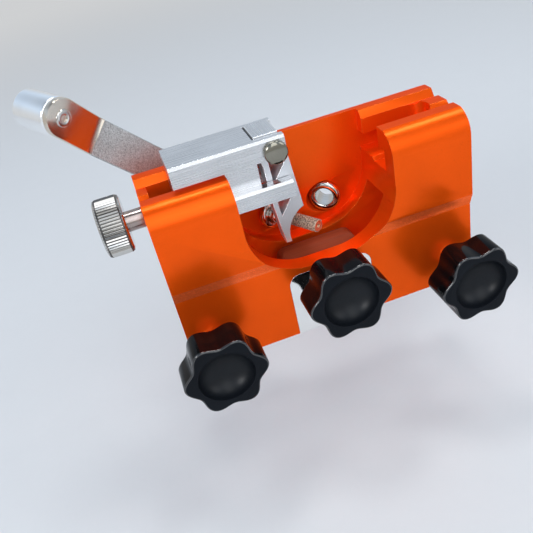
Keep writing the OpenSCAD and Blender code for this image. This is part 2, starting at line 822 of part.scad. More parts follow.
module chuck() {
    outer = chuck_d / 2;
    color("#C9CBCD") guide_frame(-1) difference() {
        rotate_extrude() polygon([
            [0, chuck_s0], [outer - 0.8, chuck_s0], [outer, chuck_s0 + 0.8],
            [outer, chuck_s0 + chuck_l], [5.2, hub_s], [stud_r, hub_s],
            [stud_r, hub_s + 9.6], [stud_r - 0.6, hub_s + 10.2], [0, hub_s + 10.2]
        ]);
        translate([0, 0, chuck_s0 - over])
            cylinder(r = bush_bore_r, h = spindle_s1 - chuck_s0 + over + 0.3);
        translate([0, 0, set_screw_s]) rotate([90, 0, 0]) cylinder(r = set_screw_r, h = chuck_d);
    }
}

module chuck_set_screw() {
    color("#3A3B3D") guide_frame(-1) translate([0, 0, set_screw_s]) rotate([90, 0, 0]) difference() {
        translate([0, 0, spindle_d / 2 - flat_depth + 0.05]) cylinder(r = set_screw_r, h = 4.5);
        translate([0, 0, spindle_d / 2 + 2]) cylinder(r = 1.15, h = 4, $fn = 6);
    }
}

// Side outline of the crank arm: flat hub, part sloping back, and outer part leaning forward
module arm_side() {
    end_r = crank_r + crank_w;
    end_s = arm_out_s - tan(crank_lean) * (end_r - bend_out_r);
    polygon([
        [-crank_w, arm_in_s], [bend_in_r, arm_in_s], [bend_out_r, arm_out_s], [end_r, end_s],
        [end_r, end_s + crank_t], [bend_out_r, arm_out_s + crank_t],
        [bend_in_r, arm_in_s + crank_t], [-crank_w, arm_in_s + crank_t]
    ]);
}

module crank_arm() {
    color("#C2C3C4") difference() {
        arm_frame() difference() {
            intersection() {
                translate([0, crank_w / 2, 0]) rotate([90, 0, 0]) linear_extrude(crank_w) arm_side();
                translate([0, 0, arm_in_s - crank_w]) linear_extrude(4 * crank_w) {
                    circle(d = crank_w);
                    translate([0, -crank_w / 2]) square([crank_r, crank_w]);
                    translate([crank_r, 0]) circle(d = crank_w);
                }
            }
            translate([0, 0, hub_s - over]) cylinder(r = stud_r + 0.1, h = crank_t + 2 * over);
        }
        grip_frame() translate([0, 0, -crank_t]) cylinder(r = rivet_r + seat_gap, h = 3 * crank_t);
    }
}

module crank_lock_washer() {
    color("#B4B6B8") guide_frame(-1) translate([0, 0, hub_s + crank_t]) difference() {
        cylinder(r = lock_washer_r, h = lock_washer_t);
        translate([0, 0, -over]) cylinder(r = stud_r + 0.1, h = lock_washer_t + 2 * over);
    }
}

module crank_nut() {
    color("#D2D3D4") guide_frame(-1) translate([0, 0, hub_s + crank_t + lock_washer_t]) difference() {
        cylinder(r = nut_r, h = nut_h, $fn = 6);
        translate([0, 0, -over]) cylinder(r = stud_r + seat_gap, h = nut_h + 2 * over);
    }
}

// Tubular rivet: flared end on the arm's front face, flat head inside the grip's far end
module grip_rivet() {
    head_z = grip_l - 2.4;
    color("#C9CACB") grip_frame() difference() {
        union() {
            translate([0, 0, -0.7]) cylinder(r1 = rivet_r + 0.6, r2 = rivet_r + 1.1, h = 0.7);
            translate([0, 0, -0.7]) cylinder(r = rivet_r, h = head_z + 0.7 + crank_t);
            translate([0, 0, head_z + crank_t]) cylinder(r = rivet_r + 1.7, h = 1.4);
        }
        translate([0, 0, -over]) cylinder(r = 1.4, h = 8);
    }
}

module grip() {
    outer = grip_d / 2;
    base = crank_t + 0.3;
    color("#D4D7DA") grip_frame() translate([0, 0, base]) difference() {
        rotate_extrude() polygon([
            [0, 0], [outer - 0.6, 0], [outer, 0.6], [outer, grip_l - 1.2],
            [outer - 1.2, grip_l], [0, grip_l]
        ]);
        translate([0, 0, -over]) cylinder(r = rivet_r + run_gap, h = grip_l + 2 * over);
        translate([0, 0, grip_l - 2.9]) cylinder(r = rivet_r + 2.1, h = 4);
    }
}

main_body();
left_guide_bush();
right_guide_bush();
clamp_plate();
clamp_jaw();
jaw_guide_pins();
jaw_retaining_pin();
center_clamp_screw();
center_knob();
left_clamp_pad();
left_clamp_screw();
left_knob();
right_clamp_pad();
right_clamp_screw();
right_knob();
slider();
pawl_pivot_screw();
pawl_spring();
pawl();
lead_screw();
adjuster_knob();
adjuster_grub_screw();
retaining_clip();
thrust_washer();
diamond_burr();
burr_spindle();
chuck();
chuck_set_screw();
crank_arm();
crank_lock_washer();
crank_nut();
grip_rivet();
grip();
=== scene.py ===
"""Looks of a hand-cranked sharpener that clamps on the guide bar of a chain saw.

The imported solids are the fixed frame. Milled pieces keep their solid's shape and gain broken edges,
while turned, knurled, threaded and moulded pieces are made new in the place of their solids.
Lengths are in millimetres in the part's own frame, and meshes are in metres.
"""

from __future__ import annotations

import json
import logging
import math
from dataclasses import dataclass, replace
from enum import Enum
from typing import Any, Callable, Sequence

import bmesh
import bpy
from mathutils import Matrix, Quaternion, Vector

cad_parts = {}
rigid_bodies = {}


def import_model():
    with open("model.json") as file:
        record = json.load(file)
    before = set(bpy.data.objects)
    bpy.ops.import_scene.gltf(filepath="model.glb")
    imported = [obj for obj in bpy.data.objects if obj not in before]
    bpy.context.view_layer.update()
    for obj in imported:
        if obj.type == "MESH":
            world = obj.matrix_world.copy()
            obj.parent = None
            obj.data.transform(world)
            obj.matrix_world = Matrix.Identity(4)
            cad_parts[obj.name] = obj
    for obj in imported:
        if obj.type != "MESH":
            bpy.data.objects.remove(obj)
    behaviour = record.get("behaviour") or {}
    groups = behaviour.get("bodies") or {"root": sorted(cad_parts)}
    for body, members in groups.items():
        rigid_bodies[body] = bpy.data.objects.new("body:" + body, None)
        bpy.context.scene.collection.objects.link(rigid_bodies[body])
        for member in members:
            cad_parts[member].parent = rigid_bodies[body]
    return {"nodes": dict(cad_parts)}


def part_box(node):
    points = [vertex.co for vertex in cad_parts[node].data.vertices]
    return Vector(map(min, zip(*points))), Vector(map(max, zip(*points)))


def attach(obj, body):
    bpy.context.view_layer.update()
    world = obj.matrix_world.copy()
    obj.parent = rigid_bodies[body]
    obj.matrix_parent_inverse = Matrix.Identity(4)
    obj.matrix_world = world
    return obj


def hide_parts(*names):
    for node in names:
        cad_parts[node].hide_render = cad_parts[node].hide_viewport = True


LOG = logging.getLogger("sharpener")
MM = 0.001

Color = tuple[float, float, float]
Point = tuple[float, float]
Triple = tuple[float, float, float]

# The two guides slant to the left and right of square, and their axes cross at one point.
SLANT = math.radians(30.0)
CROSSING: Triple = (0.0, -14.0, 31.0)
SPINDLE_AXIS: Triple = (-math.sin(SLANT), math.cos(SLANT), 0.0)
RIGHT_AXIS: Triple = (math.sin(SLANT), math.cos(SLANT), 0.0)

# Spans of noise that a finish maps, scale of its wide soft patches, and height of a grit cell's middle.
GRAIN_SPAN: Point = (0.25, 0.75)
PATCH_SPAN: Point = (0.3, 0.7)
PATCH_SCALE = 70.0
LEAST_ROUGHNESS = 0.02
CELL_TOP = 0.9

# How a solid's triangles are merged, which edges are broken, and which faces are capped.
WELD = 1e-6
FLAT_ANGLE = math.radians(0.4)
EDGE_ANGLE = math.radians(34.0)
SQUARE_ON = 0.8
ONE_WAY = 0.98

# Largest share of a side that a corner's curve takes, and how near its drum a face lies to get the
# valleys' painted shade.
CORNER_SHARE = 0.45
VALLEY_MARGIN = 0.03

# Radius of a thread's square section as a share of its pitch, and folds shaded smooth, in degrees.
RIDGE_SHARE = 0.62
RIDGE_FOLD = 50.0
COIL_FOLD = 60.0


class Graph:
    """A node tree with short calls for adding and joining its nodes."""

    def __init__(self, tree: bpy.types.NodeTree) -> None:
        """Keeps the tree.

        Args:
            tree: Shader or geometry tree that the nodes go into.
        """
        self.tree = tree

    def feed(self, node: bpy.types.Node, inputs: dict[Any, Any]) -> None:
        """Sets or joins the inputs of a node.

        Args:
            node: Node of the tree.
            inputs: Values or output sockets, by input name or number.
        """
        for key, value in inputs.items():
            socket = node.inputs[key]
            if isinstance(value, bpy.types.NodeSocket):
                self.tree.links.new(value, socket)
            else:
                socket.default_value = value

    def add(self, kind: str, inputs: dict[Any, Any] | None = None, **settings: Any) -> bpy.types.Node:
        """Adds one node.

        Args:
            kind: Blender's name of the node type.
            inputs: Values or output sockets, by input name or number.
            **settings: Properties of the node itself.

        Returns:
            The new node.
        """
        node = self.tree.nodes.new(kind)
        for name, value in settings.items():
            setattr(node, name, value)
        self.feed(node, inputs or {})
        return node

    def number(self, operation: str, *values: Any) -> bpy.types.NodeSocket:
        """Works out one number from others.

        Args:
            operation: Blender's name of the operation.
            *values: Numbers or output sockets.

        Returns:
            Socket with the result.
        """
        return self.add("ShaderNodeMath", dict(enumerate(values)), operation=operation).outputs["Value"]

    def scaled(self, vector: Any, scale: Any) -> bpy.types.NodeSocket:
        """Multiplies a vector by a number.

        Args:
            vector: Vector or output socket.
            scale: Number or output socket.

        Returns:
            Socket with the vector.
        """
        made = self.add("ShaderNodeVectorMath", {0: vector, "Scale": scale}, operation="SCALE")
        return made.outputs["Vector"]

    def mapped(self, value: bpy.types.NodeSocket, span: Point, low: float, high: float,
               **settings: Any) -> bpy.types.NodeSocket:
        """Maps a span of values to another, whose ends it doesn't pass.

        Args:
            value: Socket with the value.
            span: Ends of the span that the value lies in.
            low: Result at the span's start.
            high: Result at the span's end.
            **settings: Properties of the node itself.

        Returns:
            Socket with the result.
        """
        ends = {"From Min": span[0], "From Max": span[1], "To Min": low, "To Max": high}
        return self.add("ShaderNodeMapRange", {"Value": value, **ends}, **settings).outputs["Result"]


class Grain(Enum):
    """How a surface was worked: shares of a point's own place and of its place along the grain."""

    BLASTED = (1.0, 0.0)
    BRUSHED = (1.0, -0.985)
    TURNED = (0.012, 0.988)


@dataclass(frozen=True)
class Finish:
    """A surface whose grain shows in its colour, gloss and relief.

    Attributes:
        name: Name of the material.
        color: Base colour, linear.
        metallic: Share of metal.
        roughness: Mean roughness.
        grain: How the surface was worked.
        direction: Direction of the grain in the part's frame.
        pitch: Size of the grain.
        contrast: Share by which the grain darkens and lightens the colour.
        spread: Amount by which the grain changes the roughness.
        relief: Height of the grain.
        mottle: Share by which wide soft patches change the colour.
        specular: Strength of the reflection of what isn't metal.
        edge_tint: Tint of the reflection at a low angle.
        coat: Share of a clear coat.
        coat_roughness: Roughness of the clear coat.
    """

    name: str
    color: Color
    metallic: float = 1.0
    roughness: float = 0.3
    grain: Grain = Grain.BLASTED
    direction: Triple = (1.0, 0.0, 0.0)
    pitch: float = 0.4
    contrast: float = 0.08
    spread: float = 0.06
    relief: float = 0.01
    mottle: float = 0.05
    specular: float = 0.5
    edge_tint: Color = (1.0, 1.0, 1.0)
    coat: float = 0.0
    coat_roughness: float = 0.18

    def grain_place(self, graph: Graph) -> bpy.types.NodeSocket:
        """Stretches the object's coordinates along or across the grain.

        Args:
            graph: Tree of the material.

        Returns:
            Socket with the stretched coordinates.
        """
        own_share, along_share = self.grain.value
        place = graph.add("ShaderNodeTexCoord").outputs["Object"]
        along = graph.add(
            "ShaderNodeVectorMath", {0: place, 1: self.direction}, operation="DOT_PRODUCT"
        ).outputs["Value"]
        line = graph.scaled(self.direction, graph.number("MULTIPLY", along, along_share))
        own = graph.scaled(place, own_share)
        return graph.add("ShaderNodeVectorMath", {0: own, 1: line}, operation="ADD").outputs["Vector"]

    def height(self, graph: Graph, place: bpy.types.NodeSocket) -> bpy.types.NodeSocket:
        """Makes the grain itself, from 0 to 1.

        Args:
            graph: Tree of the material.
            place: Socket with the stretched coordinates.

        Returns:
            Socket with the grain's height.
        """
        noise = graph.add(
            "ShaderNodeTexNoise",
            {"Vector": place, "Scale": 1.0 / (self.pitch * MM), "Detail": 3.0, "Roughness": 0.55},
        )
        return noise.outputs["Fac"]

    def material(self) -> bpy.types.Material:
        """Builds the material, or finds it if it was built before.

        Returns:
            The material.
        """
        known = bpy.data.materials.get(self.name)
        if known is not None:
            return known
        material = bpy.data.materials.new(self.name)
        material.use_nodes = True
        graph = Graph(material.node_tree)
        grain = self.height(graph, self.grain_place(graph))
        place = graph.add("ShaderNodeTexCoord").outputs["Object"]
        patch = graph.add(
            "ShaderNodeTexNoise", {"Vector": place, "Scale": PATCH_SCALE, "Detail": 2.0}
        ).outputs["Fac"]
        shade = graph.mapped(grain, GRAIN_SPAN, 1.0 - self.contrast, 1.0 + self.contrast)
        cloud = graph.mapped(patch, PATCH_SPAN, 1.0 - self.mottle, 1.0 + self.mottle)
        smoothest = max(self.roughness - self.spread, LEAST_ROUGHNESS)
        bump = graph.add("ShaderNodeBump",
                         {"Height": grain, "Distance": self.relief * MM, "Strength": 1.0})
        graph.feed(material.node_tree.nodes["Principled BSDF"], {
            "Base Color": graph.scaled(self.color, graph.number("MULTIPLY", shade, cloud)),
            "Metallic": self.metallic,
            "Roughness": graph.mapped(grain, GRAIN_SPAN, smoothest, self.roughness + self.spread),
            "Normal": bump.outputs["Normal"],
            "Specular IOR Level": self.specular,
            "Specular Tint": (*self.edge_tint, 1.0),
            "Coat Weight": self.coat,
            "Coat Roughness": self.coat_roughness,
        })
        return material


@dataclass(frozen=True)
class GritFinish(Finish):
    """Diamond grains set in nickel, as sharp cells of unlike height and tint."""

    def height(self, graph: Graph, place: bpy.types.NodeSocket) -> bpy.types.NodeSocket:
        """Makes the grains as cells that fall away from their middles.

        Args:
            graph: Tree of the material.
            place: Socket with the coordinates.

        Returns:
            Socket with the grains' height.
        """
        cells = graph.add("ShaderNodeTexVoronoi", {"Vector": place, "Scale": 1.0 / (self.pitch * MM)})
        return graph.number("SUBTRACT", CELL_TOP, cells.outputs["Distance"])


class Look:
    """Finishes of the sharpener's pieces."""

    anodised = Finish("anodised_orange", (0.93, 0.098, 0.004), 0.66, 0.30, pitch=0.3, contrast=0.035,
                      spread=0.03, relief=0.002, mottle=0.03, specular=0.03, edge_tint=(1.0, 0.35, 0.08),
                      coat=0.1)
    # Painted light: a lighter orange for the front step's downward slope, which the lamps barely reach.
    anodised_slope = replace(anodised, name="orange_slope_painted_light", color=(1.0, 0.15, 0.036), metallic=0.7,
                             roughness=0.26)
    # Painted highlight: a lighter, yellower orange on the body's broken edges, where light catches them.
    anodised_edge = replace(anodised, name="orange_edge_painted_highlight", color=(1.0, 0.29, 0.06), metallic=0.85,
                            roughness=0.2)
    brushed = Finish("brushed_stock", (0.655, 0.66, 0.672), 1.0, 0.27, Grain.BRUSHED, pitch=0.4,
                     contrast=0.13, spread=0.09, relief=0.006)
    brushed_cap = replace(brushed, name="brushed_ends", direction=(0.0, 1.0, 0.0))
    # Painted highlight: near-white on the broken edges of the slider, pawl, clamp plate and crank nut.
    brushed_edge = replace(brushed, name="painted_edge_highlight", color=(0.95, 0.96, 0.98), roughness=0.2,
                           contrast=0.02, spread=0.02, relief=0.0008)
    pawl = replace(brushed, name="pawl_aluminium", color=(0.66, 0.68, 0.71), metallic=0.6,
                   roughness=0.36, contrast=0.03, spread=0.04, relief=0.002, direction=(0.1, 0.0, 0.995))
    nickel_y = Finish("nickel_across", (0.72, 0.71, 0.68), 1.0, 0.13, Grain.TURNED, (0.0, 1.0, 0.0),
                      pitch=0.12, contrast=0.05, spread=0.04, relief=0.003)
    nickel_x = replace(nickel_y, name="nickel_along", color=(0.58, 0.565, 0.54), roughness=0.1,
                       direction=(1.0, 0.0, 0.0))
    # Painted reflection: a darker, pinkish nickel for the lead screw, standing in for the orange body it
    # mirrors.
    stem = replace(nickel_x, name="stem_painted_orange_reflection", color=(0.40, 0.335, 0.31), roughness=0.22)
    # Painted shade: a dark copy of the nickel for the knurls' valleys, where shade falls between the
    # ridges.
    valley = replace(nickel_x, name="painted_valley_shade", color=(0.10, 0.095, 0.09), roughness=0.3)
    nickel_spindle = replace(nickel_y, name="nickel_spindle", direction=SPINDLE_AXIS)
    bush_left = replace(nickel_y, name="bush_left", color=(0.62, 0.59, 0.55), roughness=0.09,
                        contrast=0.14, direction=SPINDLE_AXIS)
    bush_right = replace(bush_left, name="bush_right", direction=RIGHT_AXIS)
    # A bronze tint, darkened as a painted reflection of the dark surroundings in the polished dome.
    dome = replace(nickel_y, name="bronze_dome_painted_dark_reflection", color=(0.27, 0.255, 0.21), roughness=0.07)
    plate = replace(nickel_y, name="polished_plate", color=(0.86, 0.87, 0.86), grain=Grain.BRUSHED,
                    direction=(0.0, 0.0, 1.0), roughness=0.09, spread=0.03, pitch=0.15)
    jaw = Finish("browned_jaw", (0.24, 0.040, 0.014), 0.1, 0.42, Grain.BRUSHED, (1.0, 0.0, 0.0),
                 pitch=0.5, contrast=0.16, relief=0.01, specular=0.08)
    # Painted highlight: a lighter brown on the jaw's broken edges.
    jaw_edge_painted_highlight = replace(jaw, name="jaw_edge_painted_highlight", color=(0.46, 0.11, 0.05), roughness=0.34)
    steel = Finish("tumbled_steel", (0.46, 0.485, 0.49), 1.0, 0.46, pitch=0.45, contrast=0.6, spread=0.16,
                   relief=0.07, mottle=0.06)
    # Polished outer part of the arm, whose warm tint is a painted reflection of the orange body.
    bent_steel = replace(steel, name="polished_strip", color=(0.74, 0.66, 0.56), roughness=0.13,
                         contrast=0.04, spread=0.04, relief=0.004, mottle=0.04)
    pin = replace(nickel_y, name="drawn_steel", color=(0.58, 0.58, 0.57), roughness=0.28)
    rivet = replace(nickel_y, name="rivet_steel", color=(0.62, 0.60, 0.57), roughness=0.1)
    dark = Finish("blackened_steel", (0.06, 0.06, 0.065), 0.9, 0.35, pitch=0.2, contrast=0.15)
    plastic = Finish("knob_plastic", (0.0028, 0.003, 0.0036), 0.0, 0.12, pitch=0.5, contrast=0.2,
                     spread=0.04, relief=0.003, mottle=0.15, specular=0.1)
    # Partly painted highlight: the rim is glossier, and lighter than the sides to give its thin bright
    # edge line.
    plastic_rim = replace(plastic, name="knob_rim_painted_highlight", color=(0.012, 0.013, 0.015), roughness=0.08,
                          specular=0.9)
    plastic_face = replace(plastic, name="satin_plastic", color=(0.0045, 0.006, 0.0088), roughness=0.5,
                           relief=0.006, specular=0.09)
    plastic_bowl = replace(plastic_face, name="polished_bowl", roughness=0.38, specular=0.25)
    nylon = Finish("pale_nylon", (0.74, 0.72, 0.66), 0.0, 0.45, pitch=0.3, contrast=0.04)
    grit = GritFinish("diamond_coat", (0.50, 0.40, 0.31), 0.6, 0.38, pitch=0.6, contrast=0.3,
                      spread=0.16, relief=0.1, mottle=0.12)
    burr_steel = replace(nickel_spindle, name="burr_steel", color=(0.72, 0.55, 0.42), roughness=0.3)
    grip: Finish

    @classmethod
    def set_grip(cls, axis: Triple) -> None:
        """Turns the grip's grain about the grip's own axis.

        Args:
            axis: Direction of the grip in the part's frame.
        """
        cls.grip = replace(cls.nickel_y, name="turned_aluminium", color=(0.97, 0.98, 0.99),
                           roughness=0.24, direction=axis, pitch=0.25, contrast=0.03)


def along_x(y: float, z: float, x: float = 0.0) -> Matrix:
    """Frame whose +Z runs along the part's +X.

    Args:
        y: Place of the frame's origin across the bar.
        z: Height of the frame's origin.
        x: Place of the frame's origin along the bar.

    Returns:
        The frame.
    """
    return Matrix.Translation((x, y, z)) @ Matrix.Rotation(math.pi / 2, 4, "Y")


def toward_front(x: float, z: float, y: float = 0.0) -> Matrix:
    """Frame whose +Z runs along the part's -Y, toward the operator.

    Args:
        x: Place of the frame's origin along the bar.
        z: Height of the frame's origin.
        y: Place of the frame's origin across the bar.

    Returns:
        The frame.
    """
    return Matrix.Translation((x, y, z)) @ Matrix.Rotation(math.pi / 2, 4, "X")


def guide_frame(side: int) -> Matrix:
    """Frame of a guide axis, with +Z running back from the point where both axes cross.

    Args:
        side: -1 for the left guide and 1 for the right one.

    Returns:
        The frame.
    """
    turn = Matrix.Rotation(-side * SLANT, 4, "Z") @ Matrix.Rotation(-math.pi / 2, 4, "X")
    return Matrix.Translation(CROSSING) @ turn


def rounded(points: Sequence[Point], radius: float, steps: int = 4) -> list[Point]:
    """Rounds the corners of a closed outline, apart from those on the axis.

    Args:
        points: Corners as radius and height.
        radius: Distance from a corner at which its curve starts.
        steps: Number of straight pieces in each curve.

    Returns:
        Points of the rounded outline.
    """
    result: list[Point] = []
    for i, corner in enumerate(points):
        if corner[0] == 0.0:
            result.append(corner)
            continue
        middle = Vector(corner)
        before = Vector(points[i - 1]) - middle
        after = Vector(points[(i + 1) % len(points)]) - middle
        reach = min(radius, CORNER_SHARE * before.length, CORNER_SHARE * after.length)
        start = middle + before.normalized() * reach
        end = middle + after.normalized() * reach
        for k in range(steps + 1):
            t = k / steps
            result.append(tuple(start * (1 - t) ** 2 + middle * (2 * t * (1 - t)) + end * t ** 2))
    return result


def quarter(steps: int) -> list[float]:
    """Angles from zero to a right angle.

    Args:
        steps: Number of steps between them.

    Returns:
        The angles.
    """
    return [k / steps * math.pi / 2 for k in range(steps + 1)]


def eased(edge: float, steps: int) -> list[Point]:
    """Rounds an edge, from the face that it starts on to the side that it ends on.

    Args:
        edge: Radius of the rounding.
        steps: Number of straight pieces in it.

    Returns:
        Distances of each point from the side and from the face.
    """
    return [(edge * (1 - math.sin(a)), edge * (1 - math.cos(a))) for a in quarter(steps)]


def ring(radius: Callable[[float], float] | float, height: float, count: int) -> list[Triple]:
    """Points round an axis.

    Args:
        radius: Radius, or a function of the angle that gives it.
        height: Place along the axis.
        count: Number of points.

    Returns:
        The points, counter-clockwise.
    """
    points = []
    for i in range(count):
        angle = 2 * math.pi * i / count
        r = radius(angle) if callable(radius) else radius
        points.append((r * math.cos(angle), r * math.sin(angle), height))
    return points


def skin(name: str, frame: Matrix, rings: Sequence[Sequence[Triple]], closed: bool) -> bpy.types.Mesh:
    """Makes a mesh through rings of points.

    Args:
        name: Name of the mesh.
        frame: Frame of the rings.
        rings: Rings with one count of points; a ring of one point is a pole.
        closed: Whether the last ring joins the first.

    Returns:
        The mesh, with its faces outward.
    """
    bm = bmesh.new()
    rows = [[bm.verts.new(p) for p in points] for points in rings]
    pairs = list(zip(rows, rows[1:] + rows[:1] if closed else rows[1:]))
    for low, high in pairs:
        count = max(len(low), len(high))
        for i in range(count):
            j = (i + 1) % count
            corners = [low[i % len(low)], low[j % len(low)], high[j % len(high)], high[i % len(high)]]
            bm.faces.new(list(dict.fromkeys(corners)))
    return to_mesh(name, bm, frame)


def to_mesh(name: str, bm: bmesh.types.BMesh, frame: Matrix) -> bpy.types.Mesh:
    """Places a mesh in the part's frame, in metres, and turns its faces outward.

    Args:
        name: Name of the mesh.
        bm: Mesh in millimetres, freed here.
        frame: Frame that it was drawn in.

    Returns:
        The mesh.
    """
    bmesh.ops.recalc_face_normals(bm, faces=bm.faces)
    bm.transform(Matrix.Scale(MM, 4) @ frame)
    mesh = bpy.data.meshes.new(name)
    bm.to_mesh(mesh)
    bm.free()
    return smooth(mesh)


def smooth(mesh: bpy.types.Mesh, angle: float = 32.0) -> bpy.types.Mesh:
    """Shades a mesh smooth, with sharp edges at its corners.

    Args:
        mesh: Mesh to shade.
        angle: Angle in degrees over which an edge is a corner.

    Returns:
        The same mesh.
    """
    mesh.polygons.foreach_set("use_smooth", [True] * len(mesh.polygons))
    mesh.set_sharp_from_angle(angle=math.radians(angle))
    return mesh


def turned(name: str, frame: Matrix, outline: Sequence[Point], edge: float = 0.25,
           count: int = 96) -> bpy.types.Mesh:
    """Turns an outline about its frame's axis.

    Args:
        name: Name of the mesh.
        frame: Frame whose +Z is the axis.
        outline: Corners as radius and height, from the axis back to it, or else round a closed ring.
        edge: Rounding of its corners.
        count: Number of points round the axis.

    Returns:
        The mesh.
    """
    rings = [[(0.0, 0.0, h)] if r == 0.0 else ring(r, h, count) for r, h in rounded(outline, edge)]
    return skin(name, frame, rings, closed=outline[0][0] != 0.0)


def dressed(mesh: bpy.types.Mesh, *finishes: Finish) -> bpy.types.Mesh:
    """Adds material slots to a mesh.

    Args:
        mesh: Mesh to dress.
        *finishes: Finish of each new slot.

    Returns:
        The same mesh.
    """
    for finish in finishes:
        mesh.materials.append(finish.material())
    return mesh


def joined(name: str, parts: Sequence[tuple[bpy.types.Mesh, Finish]]) -> bpy.types.Mesh:
    """Joins meshes of several finishes into one.

    Args:
        name: Name of the mesh.
        parts: Meshes, each with its finish.

    Returns:
        The mesh, with one material slot for each finish.
    """
    finishes = list(dict.fromkeys(finish for _, finish in parts))
    bm = bmesh.new()
    for mesh, finish in parts:
        first = len(bm.faces)
        bm.from_mesh(mesh)
        bm.faces.ensure_lookup_table()
        for face in bm.faces[first:]:
            face.material_index = finishes.index(finish)
        bpy.data.meshes.remove(mesh)
    result = bpy.data.meshes.new(name)
    bm.to_mesh(result)
    bm.free()
    return dressed(result, *finishes)


def evaluated(obj: bpy.types.Object) -> bpy.types.Mesh:
    """Turns an object with its modifiers into a plain mesh, and removes the object.

    Args:
        obj: Object in the scene.

    Returns:
        The mesh.
    """
    graph = bpy.context.evaluated_depsgraph_get()
    mesh = bpy.data.meshes.new_from_object(obj.evaluated_get(graph))
    obj.modifiers.clear()
    bpy.data.objects.remove(obj)
    return mesh


def show(name: str, mesh: bpy.types.Mesh, body: str, slot: str, *nodes: str) -> bpy.types.Object:
    """Puts a finished piece on its body.

    Args:
        name: Name of the piece.
        mesh: Mesh with its materials.
        body: Body that the piece moves with.
        slot: The record's material slot for its finish; not used.
        *nodes: Solids that the piece stands for.

    Returns:
        The piece.
    """
    obj = bpy.data.objects.new(name, mesh)
    bpy.context.scene.collection.objects.link(obj)
    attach(obj, body)
    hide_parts(*nodes)
    LOG.info("%s: %d faces on %s", name, len(mesh.polygons), body)
    return obj


@dataclass
class Milled:
    """A piece cut from solid stock, with the solid's shape and broken edges.

    Attributes:
        node: Solid that gives the shape.
        body: Body that it moves with.
        slot: The record's material slot.
        finish: Finish of its faces.
        edge_finish: Finish of the broken edges, which paints a highlight on them where it is lighter than
            the faces.
        edge: Width of the broken edges.
        cap: Finish of the faces square to the grain, where it isn't the same.
        cap_normal: Way that the capped faces look, where it isn't along the grain; on the body these
            faces get painted light.
    """

    node: str
    body: str
    slot: str
    finish: Finish
    edge_finish: Finish
    edge: float = 0.3
    cap: Finish | None = None
    cap_normal: Triple | None = None

    def build(self, solids: dict[str, bpy.types.Object]) -> bpy.types.Object:
        """Copies the solid and breaks its edges.

        Args:
            solids: The frame's solids by name.

        Returns:
            The piece.
        """
        bm = bmesh.new()
        bm.from_mesh(solids[self.node].data)
        bmesh.ops.remove_doubles(bm, verts=bm.verts, dist=WELD)
        bmesh.ops.dissolve_limit(
            bm, angle_limit=FLAT_ANGLE, verts=bm.verts, edges=bm.edges, use_dissolve_boundaries=False
        )
        mesh = bpy.data.meshes.new(self.node + "_block")
        bm.to_mesh(mesh)
        bm.free()
        dressed(mesh, self.finish, self.edge_finish)
        mesh.polygons.foreach_set("material_index", [0] * len(mesh.polygons))
        smooth(mesh)
        obj = bpy.data.objects.new(self.node + "_blank", mesh)
        bpy.context.scene.collection.objects.link(obj)
        bevel = obj.modifiers.new("edges", "BEVEL")
        bevel.width = self.edge * MM
        bevel.segments = 2
        bevel.limit_method = "ANGLE"
        bevel.angle_limit = EDGE_ANGLE
        # The bevel's new faces take the edge finish, a painted highlight where it is lighter than the
        # faces.
        bevel.material = 1
        bevel.harden_normals = True
        bevel.use_clamp_overlap = True
        mesh = evaluated(obj)
        if self.cap is not None:
            self.cap_ends(mesh)
        return show(self.node + "_finished", mesh, self.body, self.slot, self.node)

    def cap_ends(self, mesh: bpy.types.Mesh) -> None:
        """Gives the faces square to the grain, or those that look one way, a finish of their own, which
        on the body's slope is painted light.

        Args:
            mesh: The piece's mesh, with its faces and edges dressed.
        """
        dressed(mesh, self.cap)
        way = Vector(self.cap_normal or self.finish.direction)
        for face in mesh.polygons:
            facing = face.normal.dot(way)
            capped = abs(facing) > SQUARE_ON if self.cap_normal is None else facing > ONE_WAY
            if face.material_index == 0 and capped:
                face.material_index = 2


class Tree:
    """A geometry tree with named inputs, run on a carrier object and turned into a plain mesh."""

    def __init__(self, name: str, sizes: Sequence[str], counts: Sequence[str]) -> None:
        """Starts an empty tree, which also takes a carrier and a finish.

        Args:
            name: Name of the tree.
            sizes: Names of its inputs that are sizes.
            counts: Names of its inputs that are whole numbers.
        """
        self.group = bpy.data.node_groups.new(name, "GeometryNodeTree")
        kinds = {"Geometry": "Geometry", "Finish": "Material"}
        kinds |= dict.fromkeys(sizes, "Float") | dict.fromkeys(counts, "Int")
        for label, kind in kinds.items():
            self.group.interface.new_socket(label, in_out="INPUT", socket_type="NodeSocket" + kind)
        self.group.interface.new_socket("Geometry", in_out="OUTPUT", socket_type="NodeSocketGeometry")
        self.graph = Graph(self.group)
        self.given = self.graph.add("NodeGroupInput").outputs

    def finish(self, geometry: bpy.types.NodeSocket) -> None:
        """Ends the tree in real geometry with its material.

        Args:
            geometry: Socket with the finished geometry.
        """
        real = self.graph.add("GeometryNodeRealizeInstances", {"Geometry": geometry}).outputs["Geometry"]
        made = self.graph.add(
            "GeometryNodeSetMaterial", {"Geometry": real, "Material": self.given["Finish"]}
        ).outputs["Geometry"]
        self.graph.add("NodeGroupOutput", {"Geometry": made})

    def run(self, name: str, frame: Matrix, finish: Finish, values: dict[str, float],
            carrier: bpy.types.Mesh | None = None) -> bpy.types.Mesh:
        """Grows the geometry.

        Args:
            name: Name of the mesh.
            frame: Frame that the tree draws in, in millimetres.
            finish: Finish of the geometry.
            values: Values of the named inputs.
            carrier: Mesh that the tree starts from, in the same frame.

        Returns:
            The mesh in the part's frame, in metres.
        """
        obj = bpy.data.objects.new(name, carrier or bpy.data.meshes.new(name))
        modifier = obj.modifiers.new("tree", "NODES")
        modifier.node_group = self.group
        given = {"Finish": finish.material(), **values}
        for item in self.group.interface.items_tree:
            if item.in_out == "INPUT" and item.name in given:
                modifier[item.identifier] = given[item.name]
        bpy.context.scene.collection.objects.link(obj)
        mesh = evaluated(obj)
        mesh.transform(Matrix.Scale(MM, 4) @ frame)
        return mesh


